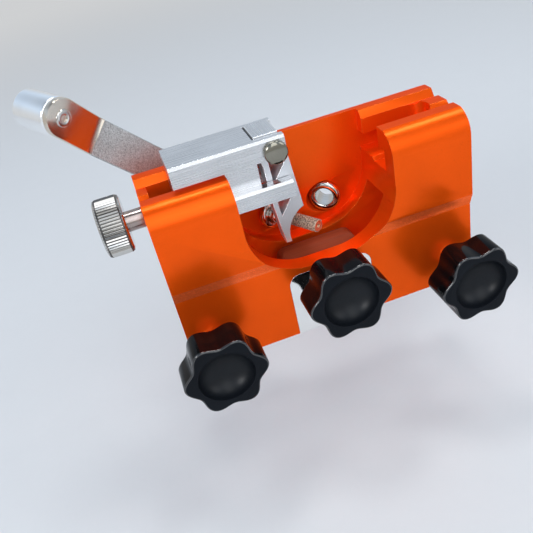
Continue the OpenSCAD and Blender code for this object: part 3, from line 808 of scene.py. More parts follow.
class Growth:
    """The geometry trees of what repeats on the sharpener."""

    def __init__(self) -> None:
        """Builds the trees."""
        self.knurl = self._knurl()
        self.helix = self._helix()
        self.grains = self._grains()

    @staticmethod
    def _knurl() -> Tree:
        """Ridges with pointed ends, set round a drum.

        Returns:
            The tree.
        """
        tree = Tree("knurl", ("Radius", "Length", "Ridge", "Tip"), ("Count",))
        g, given = tree.graph, tree.given
        bar = g.add("GeometryNodeMeshCylinder",
                    {"Vertices": 4, "Radius": given["Ridge"], "Depth": given["Length"]}).outputs["Mesh"]
        tip = g.add("GeometryNodeMeshCone",
                    {"Vertices": 4, "Radius Bottom": given["Ridge"], "Radius Top": 0.0,
                     "Depth": given["Tip"]}).outputs["Mesh"]
        half = g.number("MULTIPLY", given["Length"], 0.5)
        rise = g.add("ShaderNodeCombineXYZ", {"Z": half}).outputs["Vector"]
        upper = g.add("GeometryNodeTransform", {"Geometry": tip, "Translation": rise}).outputs["Geometry"]
        lower = g.add("GeometryNodeTransform",
                      {"Geometry": upper, "Rotation": (math.pi, 0.0, 0.0)}).outputs["Geometry"]
        ridge = g.add("GeometryNodeJoinGeometry")
        for part in (bar, upper, lower):
            tree.group.links.new(part, ridge.inputs["Geometry"])
        spots = g.add("GeometryNodeMeshCircle", {"Vertices": given["Count"], "Radius": given["Radius"]})
        place = g.add("ShaderNodeSeparateXYZ", {0: g.add("GeometryNodeInputPosition").outputs[0]})
        angle = g.number("ARCTAN2", place.outputs["Y"], place.outputs["X"])
        turn = g.add("ShaderNodeCombineXYZ", {"Z": angle})
        rings = g.add("GeometryNodeInstanceOnPoints",
                      {"Points": spots.outputs["Mesh"], "Instance": ridge.outputs["Geometry"],
                       "Rotation": turn.outputs["Vector"]})
        tree.finish(rings.outputs["Instances"])
        return tree

    @staticmethod
    def _helix() -> Tree:
        """A tube or ridge wound round an axis, for threads and springs.

        Returns:
            The tree.
        """
        tree = Tree("helix", ("Turns", "Radius", "Height", "Wire"), ("Sides", "Steps"))
        g, given = tree.graph, tree.given
        line = g.add("GeometryNodeCurveSpiral",
                     {"Resolution": given["Steps"], "Rotations": given["Turns"],
                      "Start Radius": given["Radius"], "End Radius": given["Radius"],
                      "Height": given["Height"]}).outputs["Curve"]
        section = g.add("GeometryNodeCurvePrimitiveCircle",
                        {"Resolution": given["Sides"], "Radius": given["Wire"]}).outputs["Curve"]
        tube = g.add("GeometryNodeCurveToMesh",
                     {"Curve": line, "Profile Curve": section, "Fill Caps": True})
        tree.finish(tube.outputs["Mesh"])
        return tree

    @staticmethod
    def _grains() -> Tree:
        """Sharp grains scattered over the carrier's outer wall, round its +Z axis.

        Returns:
            The tree.
        """
        tree = Tree("grains", ("Density", "Size"), ("Seed",))
        smallest, largest, full_turn = 0.55, 1.1, (6.28, 6.28, 6.28)
        g, given = tree.graph, tree.given
        place = g.add("ShaderNodeSeparateXYZ", {0: g.add("GeometryNodeInputPosition").outputs[0]})
        spoke = g.add("ShaderNodeCombineXYZ", {"X": place.outputs["X"], "Y": place.outputs["Y"]})
        facing = g.add("ShaderNodeVectorMath",
                       {0: g.add("GeometryNodeInputNormal").outputs[0], 1: spoke.outputs["Vector"]},
                       operation="DOT_PRODUCT")
        outer = g.number("GREATER_THAN", facing.outputs["Value"], 1.0)
        spots = g.add("GeometryNodeDistributePointsOnFaces",
                      {"Mesh": given["Geometry"], "Selection": outer,
                       "Density": given["Density"], "Seed": given["Seed"]})
        grain = g.add("GeometryNodeMeshIcoSphere", {"Radius": given["Size"], "Subdivisions": 1})
        size = g.add("FunctionNodeRandomValue", {2: smallest, 3: largest, "Seed": given["Seed"]},
                     data_type="FLOAT")
        turn = g.add("FunctionNodeRandomValue", {0: (0.0, 0.0, 0.0), 1: full_turn, "Seed": given["Seed"]},
                     data_type="FLOAT_VECTOR")
        grains = g.add("GeometryNodeInstanceOnPoints",
                       {"Points": spots.outputs["Points"], "Instance": grain.outputs["Mesh"],
                        "Rotation": turn.outputs[0], "Scale": size.outputs[1]})
        both = g.add("GeometryNodeJoinGeometry")
        tree.group.links.new(given["Geometry"], both.inputs["Geometry"])
        tree.group.links.new(grains.outputs["Instances"], both.inputs["Geometry"])
        tree.finish(both.outputs["Geometry"])
        return tree

    def thread(self, name: str, frame: Matrix, radius: float, length: float, pitch: float,
               finish: Finish) -> bpy.types.Mesh:
        """Winds a sharp screw thread.

        Args:
            name: Name of the mesh.
            frame: Frame whose +Z is the screw's axis, from the thread's start.
            radius: Outer radius of the thread.
            length: Length of the thread.
            pitch: Distance between two turns.
            finish: Finish of the thread.

        Returns:
            The mesh.
        """
        ridge = RIDGE_SHARE * pitch
        values = {"Turns": length / pitch, "Radius": radius - ridge, "Height": length, "Wire": ridge,
                  "Sides": 4, "Steps": 40}
        return smooth(self.helix.run(name, frame, finish, values), RIDGE_FOLD)


@dataclass(frozen=True)
class Knurl:
    """A straight knurl round a turned drum.

    Attributes:
        outer: Radius over the ridges.
        depth: Depth of the valleys.
        teeth: Number of ridges.
        length: Length of the ridges between their ends.
        tip: Length of the ridges' pointed ends.
        finish: Finish of the drum and the ridges.
    """

    outer: float
    depth: float
    teeth: int
    length: float
    tip: float
    finish: Finish

    @property
    def drum(self) -> float:
        """Radius of the drum between the ridges."""
        return self.outer - self.depth

    def cut(self, name: str, growth: Growth, frame: Matrix, middle: float,
            shell: bpy.types.Mesh) -> bpy.types.Mesh:
        """Sets the ridges round the drum, and darkens the valleys between them with painted shade.

        Args:
            name: Name of the mesh.
            growth: The geometry trees.
            frame: Frame whose +Z is the drum's axis.
            middle: Place of the knurl's middle along the axis.
            shell: Mesh of the drum.

        Returns:
            The mesh.
        """
        ridge = math.pi * self.drum / self.teeth
        ridges = growth.knurl.run(
            name + "_knurl", frame @ Matrix.Translation((0.0, 0.0, middle)), self.finish,
            {"Count": self.teeth, "Radius": self.outer - ridge, "Ridge": ridge, "Length": self.length,
             "Tip": self.tip})
        mesh = joined(name, [(shell, self.finish), (ridges, self.finish)])
        # Faces on the drum between the ridges get the valleys' painted shade.
        dressed(mesh, Look.valley)
        to_drum = (Matrix.Scale(MM, 4) @ frame).inverted()
        for face in mesh.polygons:
            if abs((to_drum @ face.center).xy.length - self.drum) < VALLEY_MARGIN:
                face.material_index = len(mesh.materials) - 1
        return mesh


@dataclass
class Body:
    """The anodised block with its guide bushes and clamp plate.

    Attributes:
        slope_normal: Way that the slope of the front step looks; its faces get a lighter orange as
            painted light.
        bush_front: Place of the flange's front, behind the crossing of the axes.
        bush_back: Place of the bush's rear end.
        flange_r: Radius of the flange.
        flange_t: Thickness of the flange.
        sleeve_r: Radius of the bush's sleeve.
        bore_r: Radius of the bore.
        lead_in: Chamfer at the bore's ends.
        front_extra: How much wider the front chamfer is.
        crown: Rounding of the flange's front.
    """

    slope_normal: Triple = (0.0, -0.926, -0.377)
    bush_front: float = 22.517
    bush_back: float = 33.024
    flange_r: float = 7.0
    flange_t: float = 3.0
    sleeve_r: float = 5.0
    bore_r: float = 4.03
    lead_in: float = 0.4
    front_extra: float = 0.1
    crown: float = 1.5

    def bush(self, name: str, side: int, finish: Finish) -> bpy.types.Object:
        """Turns one bush with a polished, rounded flange.

        Args:
            name: Solid that the bush stands for.
            side: -1 for the left guide and 1 for the right one.
            finish: Finish with its grain about the bush's axis.

        Returns:
            The piece.
        """
        front, back, mouth = self.bush_front, self.bush_back, self.bore_r + self.lead_in
        crown = [(self.flange_r - w, front + h) for w, h in eased(self.crown, steps=8)]
        mesh = turned(name, guide_frame(side), [
            (mouth + self.front_extra, front), *crown, (self.flange_r, front + self.flange_t),
            (self.sleeve_r, front + self.flange_t), (self.sleeve_r, back), (mouth, back),
            (self.bore_r, back - self.lead_in),
            (self.bore_r, front + self.lead_in + self.front_extra)], edge=0.15, count=128)
        return show(name + "_turned", dressed(mesh, finish), "frame", "polished_steel", name)

    def build(self, solids: dict[str, bpy.types.Object]) -> None:
        """Builds the block, bushes and plate.

        Args:
            solids: The frame's solids by name.
        """
        # The slope of the front step takes the lighter orange as painted light.
        Milled("main_body", "frame", "orange_anodised", Look.anodised, Look.anodised_edge, edge=0.42,
               cap=Look.anodised_slope, cap_normal=self.slope_normal).build(solids)
        Milled("clamp_plate", "frame", "polished_steel", Look.plate, Look.brushed_edge,
               edge=0.4).build(solids)
        self.bush("left_guide_bush", -1, Look.bush_left)
        self.bush("right_guide_bush", 1, Look.bush_right)


@dataclass
class Clamp:
    """A star knob on its clamp screw.

    Attributes:
        label: Name of the clamp, which starts its solids' names.
        x: Place along the bar.
        z: Height of the screw.
        face_y: Place of the knob's front face.
        tip_y: Place of the screw's plain end.
        thread_y: Place where the thread starts, near the tip.
        tip_r: Radius of the screw's tip.
        knob_r: Radius over the lobes.
        knob_h: Thickness of the knob.
        lobes: Number of lobes.
        swell: Half of the lobes' height.
        rim: Rounding of the star's edges.
        dish_r: Radius of the dished front.
        dish_h: Depth of the dished front.
        dish_floor: Thickness between the dish and the screw's end.
        hub_r: Radius of the hub behind.
        hub_h: Height of the hub behind.
        screw_r: Outer radius of the thread.
        pitch: Pitch of the thread.
        thread_depth: Depth of the thread.
        collar_w: Width of the collar under the hub.
        collar_h: Height of the collar under the hub.
        shy: How far the star stays inside its solid.
        pad_y: Place of the pad's face.
        pad_r: Radius of the pad.
        pad_side: Height of the pad's upright side.
        pad_h: Height of the pad.
        pad_end_r: Radius of the pad's end at the screw.
        socket_r: Radius of the socket that holds the tip.
        socket_floor: Thickness of the pad under the socket.
    """

    label: str
    x: float
    z: float
    face_y: float
    tip_y: float
    thread_y: float
    tip_r: float
    knob_r: float = 17.0
    knob_h: float = 13.0
    lobes: int = 6
    swell: float = 1.45
    rim: float = 0.7
    dish_r: float = 11.2
    dish_h: float = 8.0
    dish_floor: float = 1.5
    hub_r: float = 7.0
    hub_h: float = 2.5
    screw_r: float = 4.0
    pitch: float = 1.25
    thread_depth: float = 0.8
    collar_w: float = 1.4
    collar_h: float = 2.0
    shy: float = 0.02
    pad_y: float = -5.0
    pad_r: float = 7.0
    pad_side: float = 3.2
    pad_h: float = 4.5
    pad_end_r: float = 5.6
    socket_r: float = 2.55
    socket_floor: float = 1.4

    @property
    def body(self) -> str:
        """Body that the knob and its screw move with."""
        return self.label + "_screw"

    def star(self, inset: float) -> Callable[[float], float]:
        """Draws the star outline in by an inset.

        Args:
            inset: Distance from the full outline.

        Returns:
            Radius of the outline as a function of the angle.
        """
        middle = self.knob_r - self.swell - self.shy
        return lambda angle: middle + self.swell * math.cos(self.lobes * angle) - inset

    def knob(self) -> bpy.types.Object:
        """Moulds the knob: dark hub and star sides, a glossy rim lightened as a painted highlight, a
        satin front and a polished bowl.

        Returns:
            The piece.
        """
        count, steps, bowl_steps = 192, 6, 18
        lip, hub_edge = 0.35, 0.6
        top, deep = self.knob_h, self.dish_h - lip
        sides = [[(0.0, 0.0, -self.hub_h)]]
        sides += [ring(self.hub_r - w, h - self.hub_h, count) for w, h in eased(hub_edge, steps)]
        sides.append(ring(self.hub_r, 0.0, count))
        sides += [ring(self.star(w), h, count) for w, h in eased(self.rim, steps)]
        rim = [ring(self.star(h), top - w, count) for w, h in eased(self.rim, steps)]
        front = [ring(self.dish_r + w, top - h, count) for w, h in eased(lip, steps)]
        front += [
            ring(self.dish_r * math.cos(a), top - lip - deep * math.sin(a), count)
            for a in quarter(bowl_steps)[1:-1]
        ]
        front.append([(0.0, 0.0, top - self.dish_h)])
        frame = toward_front(self.x, self.z, self.face_y + self.knob_h)
        mesh = skin(self.label + "_star", frame, sides + rim + front, closed=False)
        dressed(mesh, Look.plastic, Look.plastic_rim, Look.plastic_face, Look.plastic_bowl)
        rim_end = len(sides) + len(rim) - 1
        starts = [count * row for row in (len(sides), rim_end, rim_end + steps + 1)]
        for i, face in enumerate(mesh.polygons):
            face.material_index = sum(i >= start for start in starts)
        return show(self.label + "_star_knob", mesh, self.body, "black_plastic", self.label + "_knob")

    def screw(self, growth: Growth) -> bpy.types.Object:
        """Turns the screw with its collar, and winds its thread.

        Args:
            growth: The geometry trees.

        Returns:
            The piece.
        """
        hub_y = self.face_y + self.knob_h + self.hub_h
        frame = toward_front(self.x, self.z, self.tip_y)
        core, collar = self.screw_r - self.thread_depth, self.screw_r + self.collar_w
        start, seat = self.tip_y - self.thread_y, self.tip_y - hub_y
        neck, end = seat - self.collar_h, self.tip_y - self.face_y - self.dish_h - self.dish_floor
        shank = turned(self.label + "_shank", frame, [
            (0.0, 0.0), (self.tip_r, 0.0), (self.tip_r, start), (core, start), (core, neck),
            (collar, neck), (collar, seat), (self.screw_r, seat), (self.screw_r, end), (0.0, end)])
        frame = toward_front(self.x, self.z, self.thread_y)
        thread = growth.thread(self.label + "_thread", frame, self.screw_r,
                               self.thread_y - hub_y - self.collar_h, self.pitch, Look.nickel_y)
        mesh = joined(self.label + "_screw", [(shank, Look.nickel_y), (thread, Look.nickel_y)])
        return show(self.label + "_clamp_stud", mesh, self.body, "polished_steel",
                    self.label + "_clamp_screw")

    def pad(self) -> bpy.types.Object:
        """Turns the swivel pad at the screw's tip.

        Returns:
            The piece.
        """
        mesh = turned(self.label + "_pad", toward_front(self.x, self.z, self.pad_y), [
            (0.0, 0.0), (self.pad_r, 0.0), (self.pad_r, self.pad_side), (self.pad_end_r, self.pad_h),
            (self.socket_r, self.pad_h), (self.socket_r, self.socket_floor),
            (0.0, self.socket_floor)], edge=0.4)
        return show(self.label + "_swivel_pad", dressed(mesh, Look.pin), self.label + "_pad",
                    "bare_steel", self.label + "_clamp_pad")


@dataclass
class ChainJaw:
    """The jaw that the centre knob presses on the chain, with its pins.

    Attributes:
        pin_x: Distance of the guide pins from mid-length.
        pin_z: Height of the guide pins.
        pin_r: Radius of the guide pins.
        pin_front: Place of the guide pins' front ends.
        pin_back: Place of the guide pins' rear ends.
        cross_r: Radius of the retaining pin.
    """

    pin_x: float = 12.0
    pin_z: float = 2.0
    pin_r: float = 2.0
    pin_front: float = -21.0
    pin_back: float = -8.0
    cross_r: float = 1.1

    def build(self, solids: dict[str, bpy.types.Object]) -> None:
        """Builds the jaw and its pins.

        Args:
            solids: The frame's solids by name.
        """
        Milled("clamp_jaw", "jaw", "jaw_steel", Look.jaw, Look.jaw_edge_painted_highlight, edge=0.35).build(solids)
        length = self.pin_back - self.pin_front
        pins = [
            turned("guide_pin", toward_front(side * self.pin_x, self.pin_z, self.pin_back), [
                (0.0, 0.0), (self.pin_r, 0.0), (self.pin_r, length), (0.0, length)], edge=0.5)
            for side in (-1, 1)
        ]
        show("jaw_pins", joined("jaw_pins", [(pin, Look.pin) for pin in pins]), "jaw", "bare_steel",
             "jaw_guide_pins")
        low, high = (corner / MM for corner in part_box("jaw_retaining_pin"))
        middle, length = (low + high) / 2, high.x - low.x
        mesh = turned("retaining_pin", along_x(middle.y, middle.z, low.x), [
            (0.0, 0.0), (self.cross_r, 0.0), (self.cross_r, length), (0.0, length)], edge=0.3, count=48)
        show("jaw_cross_pin", dressed(mesh, Look.pin), "jaw", "bare_steel", "jaw_retaining_pin")


@dataclass
class PawlSlide:
    """The slider on the rails, with the pawl that stops the chain, its pivot and its spring.

    Attributes:
        pivot_x: Place of the pivot along the bar.
        pivot_z: Height of the pivot.
        front_y: Front face of the slider's top bar.
        back_y: Rear end of the pivot screw.
        shaft_r: Radius of the pivot screw.
        head_r: Radius of its head.
        head_h: Height of its head.
        skirt_h: Height of the head's upright side.
        spring_turns: Number of curls in the spring.
        spring_wire: Radius of the spring's wire.
        spring_r: Radius of the spring's centre line.
    """

    pivot_x: float = -10.9
    pivot_z: float = 68.3
    front_y: float = -17.0
    back_y: float = 4.4
    shaft_r: float = 2.0
    head_r: float = 4.6
    head_h: float = 2.6
    skirt_h: float = 1.3
    spring_turns: int = 5
    spring_wire: float = 0.25
    spring_r: float = 1.5

    def build(self, solids: dict[str, bpy.types.Object], growth: Growth) -> None:
        """Builds the slider, pawl, pivot screw and spring.

        Args:
            solids: The frame's solids by name.
            growth: The geometry trees.
        """
        for node, finish in (("slider", Look.brushed), ("pawl", Look.pawl)):
            Milled(node, node, "brushed_aluminium", finish, Look.brushed_edge, edge=0.3,
                   cap=Look.brushed_cap).build(solids)
        self.pivot()
        self.spring(growth)

    def pivot(self) -> bpy.types.Object:
        """Turns the pivot screw, whose low polished dome is darkened as a painted dark reflection.

        Returns:
            The piece.
        """
        frame = toward_front(self.pivot_x, self.pivot_z, self.front_y)
        depth = self.front_y - self.back_y
        dome = [(self.head_r * math.cos(a), self.skirt_h + (self.head_h - self.skirt_h) * math.sin(a))
                for a in quarter(12)[:-1]]
        mesh = turned("pivot_screw", frame, [
            (0.0, depth), (self.shaft_r, depth), (self.shaft_r, 0.0), (self.head_r, 0.0), *dome,
            (0.0, self.head_h)], edge=0.12)
        return show("pivot_screw", dressed(mesh, Look.dome), "slider", "polished_steel",
                    "pawl_pivot_screw")

    def spring(self, growth: Growth) -> bpy.types.Object:
        """Winds the pawl's return spring in the place of its solid.

        Args:
            growth: The geometry trees.

        Returns:
            The piece.
        """
        low, high = (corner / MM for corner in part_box("pawl_spring"))
        middle = (low + high) / 2
        length = high.x - low.x - 2 * self.spring_wire
        frame = along_x(middle.y, middle.z, low.x + self.spring_wire)
        mesh = growth.helix.run("spring_coil", frame, Look.pin, {
            "Turns": float(self.spring_turns), "Radius": self.spring_r, "Height": length,
            "Wire": self.spring_wire, "Sides": 10, "Steps": 32})
        return show("spring_coil", smooth(mesh, COIL_FOLD), "slider", "bare_steel", "pawl_spring")


@dataclass
class Adjuster:
    """The knurled knob and the lead screw that move the slider.

    Attributes:
        y: Place of the screw's axis across the bar.
        z: Height of the screw's axis.
        knob_x: Outer face of the knob.
        knob_l: Length of the knob.
        knurl: Knurl of the knob.
        stem_r: Radius of the stem.
        screw_r: Outer radius of the thread.
        wall_x: End of the stem, at the body's end wall.
        groove_x: Start of the clip's groove.
        web_x: Start of the thread.
        end_x: End of the screw.
        recess_r: Radius of the recess in the knob's outer face.
        recess_rim: Radius of the recess's sloping rim.
        recess_h: Depth of the recess.
        chamfer: Chamfer of the drum under the knurl.
        stem_in: Thickness of the knob in front of the stem.
        thread_depth: Depth of the thread.
        groove_depth: Depth of the clip's groove.
        groove_w: Width of the clip's groove.
        pitch: Pitch of the thread.
    """

    y: float = -6.0
    z: float = 54.3
    knob_x: float = -81.3
    knob_l: float = 10.4
    knurl: Knurl = Knurl(outer=11.5, depth=0.42, teeth=56, length=7.6, tip=1.1, finish=Look.nickel_x)
    stem_r: float = 4.0
    screw_r: float = 3.0
    wall_x: float = -64.2
    groove_x: float = -59.9
    web_x: float = -58.6
    end_x: float = -29.9
    recess_r: float = 6.6
    recess_rim: float = 7.2
    recess_h: float = 0.35
    chamfer: float = 0.75
    stem_in: float = 3.0
    thread_depth: float = 0.6
    groove_depth: float = 0.65
    groove_w: float = 1.1
    pitch: float = 1.0

    def build(self, solids: dict[str, bpy.types.Object], growth: Growth) -> None:
        """Builds the knob, its grub screw, the lead screw and the clip.

        Args:
            solids: The frame's solids by name.
            growth: The geometry trees.
        """
        self.knob(growth)
        self.screw(growth)
        for node, edge in (("adjuster_grub_screw", 0.15), ("retaining_clip", 0.12)):
            Milled(node, "adjuster", "dark_steel", Look.dark, Look.dark, edge).build(solids)

    def knob(self, growth: Growth) -> bpy.types.Object:
        """Turns the drum and sets its knurl.

        Args:
            growth: The geometry trees.

        Returns:
            The piece.
        """
        frame = along_x(self.y, self.z, self.knob_x)
        drum, end = self.knurl.drum, self.knob_l
        shell = turned("adjuster_drum", frame, [
            (0.0, self.recess_h), (self.recess_r, self.recess_h), (self.recess_rim, 0.0),
            (drum - self.chamfer, 0.0), (drum, self.chamfer), (drum, end - self.chamfer),
            (drum - self.chamfer, end), (self.stem_r, end), (self.stem_r, self.stem_in),
            (0.0, self.stem_in)], edge=0.15, count=112)
        mesh = self.knurl.cut("adjuster", growth, frame, self.knob_l / 2, shell)
        return show("adjuster_drum", mesh, "adjuster", "polished_steel", "adjuster_knob")

    def screw(self, growth: Growth) -> bpy.types.Object:
        """Turns the lead screw with its stem and clip groove, and winds its thread.

        Args:
            growth: The geometry trees.

        Returns:
            The piece.
        """
        frame = along_x(self.y, self.z)
        core, groove = self.screw_r - self.thread_depth, self.screw_r - self.groove_depth
        stem_x, groove_end = self.knob_x + self.stem_in, self.groove_x + self.groove_w
        shaft = turned("lead_shaft", frame, [
            (0.0, stem_x), (self.stem_r, stem_x), (self.stem_r, self.wall_x), (self.screw_r, self.wall_x),
            (self.screw_r, self.groove_x), (groove, self.groove_x), (groove, groove_end),
            (core, self.web_x), (core, self.end_x), (0.0, self.end_x)], edge=0.2, count=64)
        thread = growth.thread("lead_thread", along_x(self.y, self.z, self.web_x), self.screw_r,
                               self.end_x - self.web_x, self.pitch, Look.stem)
        mesh = joined("lead", [(shaft, Look.stem), (thread, Look.stem)])
        return show("lead_spindle", mesh, "adjuster", "polished_steel", "lead_screw")


@dataclass
class Spindle:
    """The burr on its spindle, in a knurled chuck that ends in the crank's stud.

    Attributes:
        tip: Place of the burr's tip, behind the crossing of the guide axes.
        head_end: Place where the burr meets the spindle.
        head_r: Radius over the grains.
        hole_r: Radius of the centre hole in the burr's tip.
        hole_l: Depth of the centre hole.
        stub_r: Radius of the burr's end in the spindle.
        stub_l: Length of the burr's end in the spindle.
        rod_r: Radius of the spindle.
        rod_end: Place of the spindle's rear end.
        chuck_front: Place of the chuck's front face.
        chuck_l: Length of the chuck's knurled part.
        knurl: Knurl of the chuck.
        cone_l: Length of the chuck's cone.
        cone_r: Radius of the cone's small end.
        stud_r: Radius of the crank's stud.
        stud_l: Length of the crank's stud.
        grain: Radius of the largest diamond grains.
        grain_out: Share of that radius that stands out of the coat.
        density: Grains on each square millimetre.
        core_wall: How much thicker the burr's core is than its end.
        coat_in: How far the coat starts inside the core.
        coat_start: Distance of the coat from the tip.
        coat_bevel: Bevel at the coat's front.
        stub_gap: Room behind the burr's end in the spindle.
        stub_fit: Play of the burr's end in the spindle.
        rod_bevel: Bevel at the spindle's front.
        bore_fit: Play of the spindle in the chuck.
        bore_gap: Room behind the spindle in the chuck.
        front_bevel: Width and length of the bevel at the chuck's front.
        stud_bevel: Bevel at the stud's end.
    """

    tip: float = -1.5
    head_end: float = 19.5
    head_r: float = 2.75
    hole_r: float = 0.8
    hole_l: float = 0.6
    stub_r: float = 2.0
    stub_l: float = 8.0
    rod_r: float = 4.0
    rod_end: float = 53.0
    chuck_front: float = 36.524
    chuck_l: float = 13.0
    knurl: Knurl = Knurl(outer=8.0, depth=0.35, teeth=40, length=10.0, tip=0.8,
                         finish=Look.nickel_spindle)
    cone_l: float = 7.0
    cone_r: float = 5.2
    stud_r: float = 3.0
    stud_l: float = 10.2
    grain: float = 0.2
    grain_out: float = 0.8
    density: float = 7.0
    core_wall: float = 0.3
    coat_in: float = 0.05
    coat_start: float = 0.1
    coat_bevel: float = 0.2
    stub_gap: float = 0.5
    stub_fit: float = 0.02
    rod_bevel: float = 0.6
    bore_fit: float = 0.03
    bore_gap: float = 0.3
    front_bevel: Point = (0.5, 0.6)
    stud_bevel: float = 0.6

    @property
    def hub(self) -> float:
        """Place of the crank arm's front face along the spindle."""
        return self.chuck_front + self.chuck_l + self.cone_l

    def build(self, solids: dict[str, bpy.types.Object], growth: Growth) -> None:
        """Builds the burr, its spindle, the chuck, its screw and the thrust washer.

        Args:
            solids: The frame's solids by name.
            growth: The geometry trees.
        """
        self.burr(growth)
        self.rod()
        self.chuck(growth)
        Milled("chuck_set_screw", "crank", "dark_steel", Look.dark, Look.dark, edge=0.15).build(solids)
        Milled("thrust_washer", "feed", "washer_nylon", Look.nylon, Look.nylon, edge=0.25).build(solids)

    def burr(self, growth: Growth) -> bpy.types.Object:
        """Turns the burr's steel core, and sets a coat of grains round it.

        Args:
            growth: The geometry trees.

        Returns:
            The piece.
        """
        frame = guide_frame(-1)
        core_r, coat_r = self.stub_r + self.core_wall, self.head_r - self.grain_out * self.grain
        deep, stub_end = self.tip + self.hole_l, self.head_end + self.stub_l
        core = turned("burr_core", frame, [
            (0.0, deep), (self.hole_r, deep), (self.hole_r, self.tip), (core_r, self.tip),
            (core_r, self.head_end), (self.stub_r, self.head_end), (self.stub_r, stub_end),
            (0.0, stub_end)], edge=0.12, count=64)
        inner, start = core_r - self.coat_in, self.tip + self.coat_start
        coat = turned("burr_coat", Matrix.Scale(1.0 / MM, 4), [
            (inner, start), (coat_r - self.coat_bevel, start), (coat_r, start + self.coat_bevel),
            (coat_r, self.head_end), (inner, self.head_end)], edge=0.1, count=64)
        values = {"Density": self.density, "Size": self.grain, "Seed": 7}
        coat = growth.grains.run("burr_grains", frame, Look.grit, values, coat)
        mesh = joined("burr", [(coat, Look.grit), (core, Look.burr_steel)])
        return show("burr", mesh, "crank", "diamond_grit", "diamond_burr")

    def rod(self) -> bpy.types.Object:
        """Turns the spindle that runs in the guide bush.

        Returns:
            The piece.
        """
        start, socket = self.head_end, self.head_end + self.stub_l + self.stub_gap
        socket_r = self.stub_r + self.stub_fit
        mesh = turned("spindle_rod", guide_frame(-1), [
            (0.0, socket), (socket_r, socket), (socket_r, start), (self.rod_r - self.rod_bevel, start),
            (self.rod_r, start + self.rod_bevel), (self.rod_r, self.rod_end),
            (0.0, self.rod_end)], edge=0.2)
        return show("spindle_rod", dressed(mesh, Look.nickel_spindle), "crank", "polished_steel",
                    "burr_spindle")

    def chuck(self, growth: Growth) -> bpy.types.Object:
        """Turns the chuck with its stud, and sets its knurl.

        Args:
            growth: The geometry trees.

        Returns:
            The piece.
        """
        frame = guide_frame(-1)
        front, drum, bore = self.chuck_front, self.knurl.drum, self.rod_r + self.bore_fit
        back, floor, end = front + self.chuck_l, self.rod_end + self.bore_gap, self.hub + self.stud_l
        bevel_w, bevel_l = self.front_bevel
        shell = turned("chuck_shell", frame, [
            (0.0, floor), (bore, floor), (bore, front), (drum - bevel_w, front), (drum, front + bevel_l),
            (drum, back), (self.cone_r, self.hub), (self.stud_r, self.hub),
            (self.stud_r, end - self.stud_bevel), (self.stud_r - self.stud_bevel, end),
            (0.0, end)], edge=0.3)
        mesh = self.knurl.cut("chuck", growth, frame, front + self.chuck_l / 2, shell)
        return show("chuck_barrel", mesh, "crank", "polished_steel", "chuck")


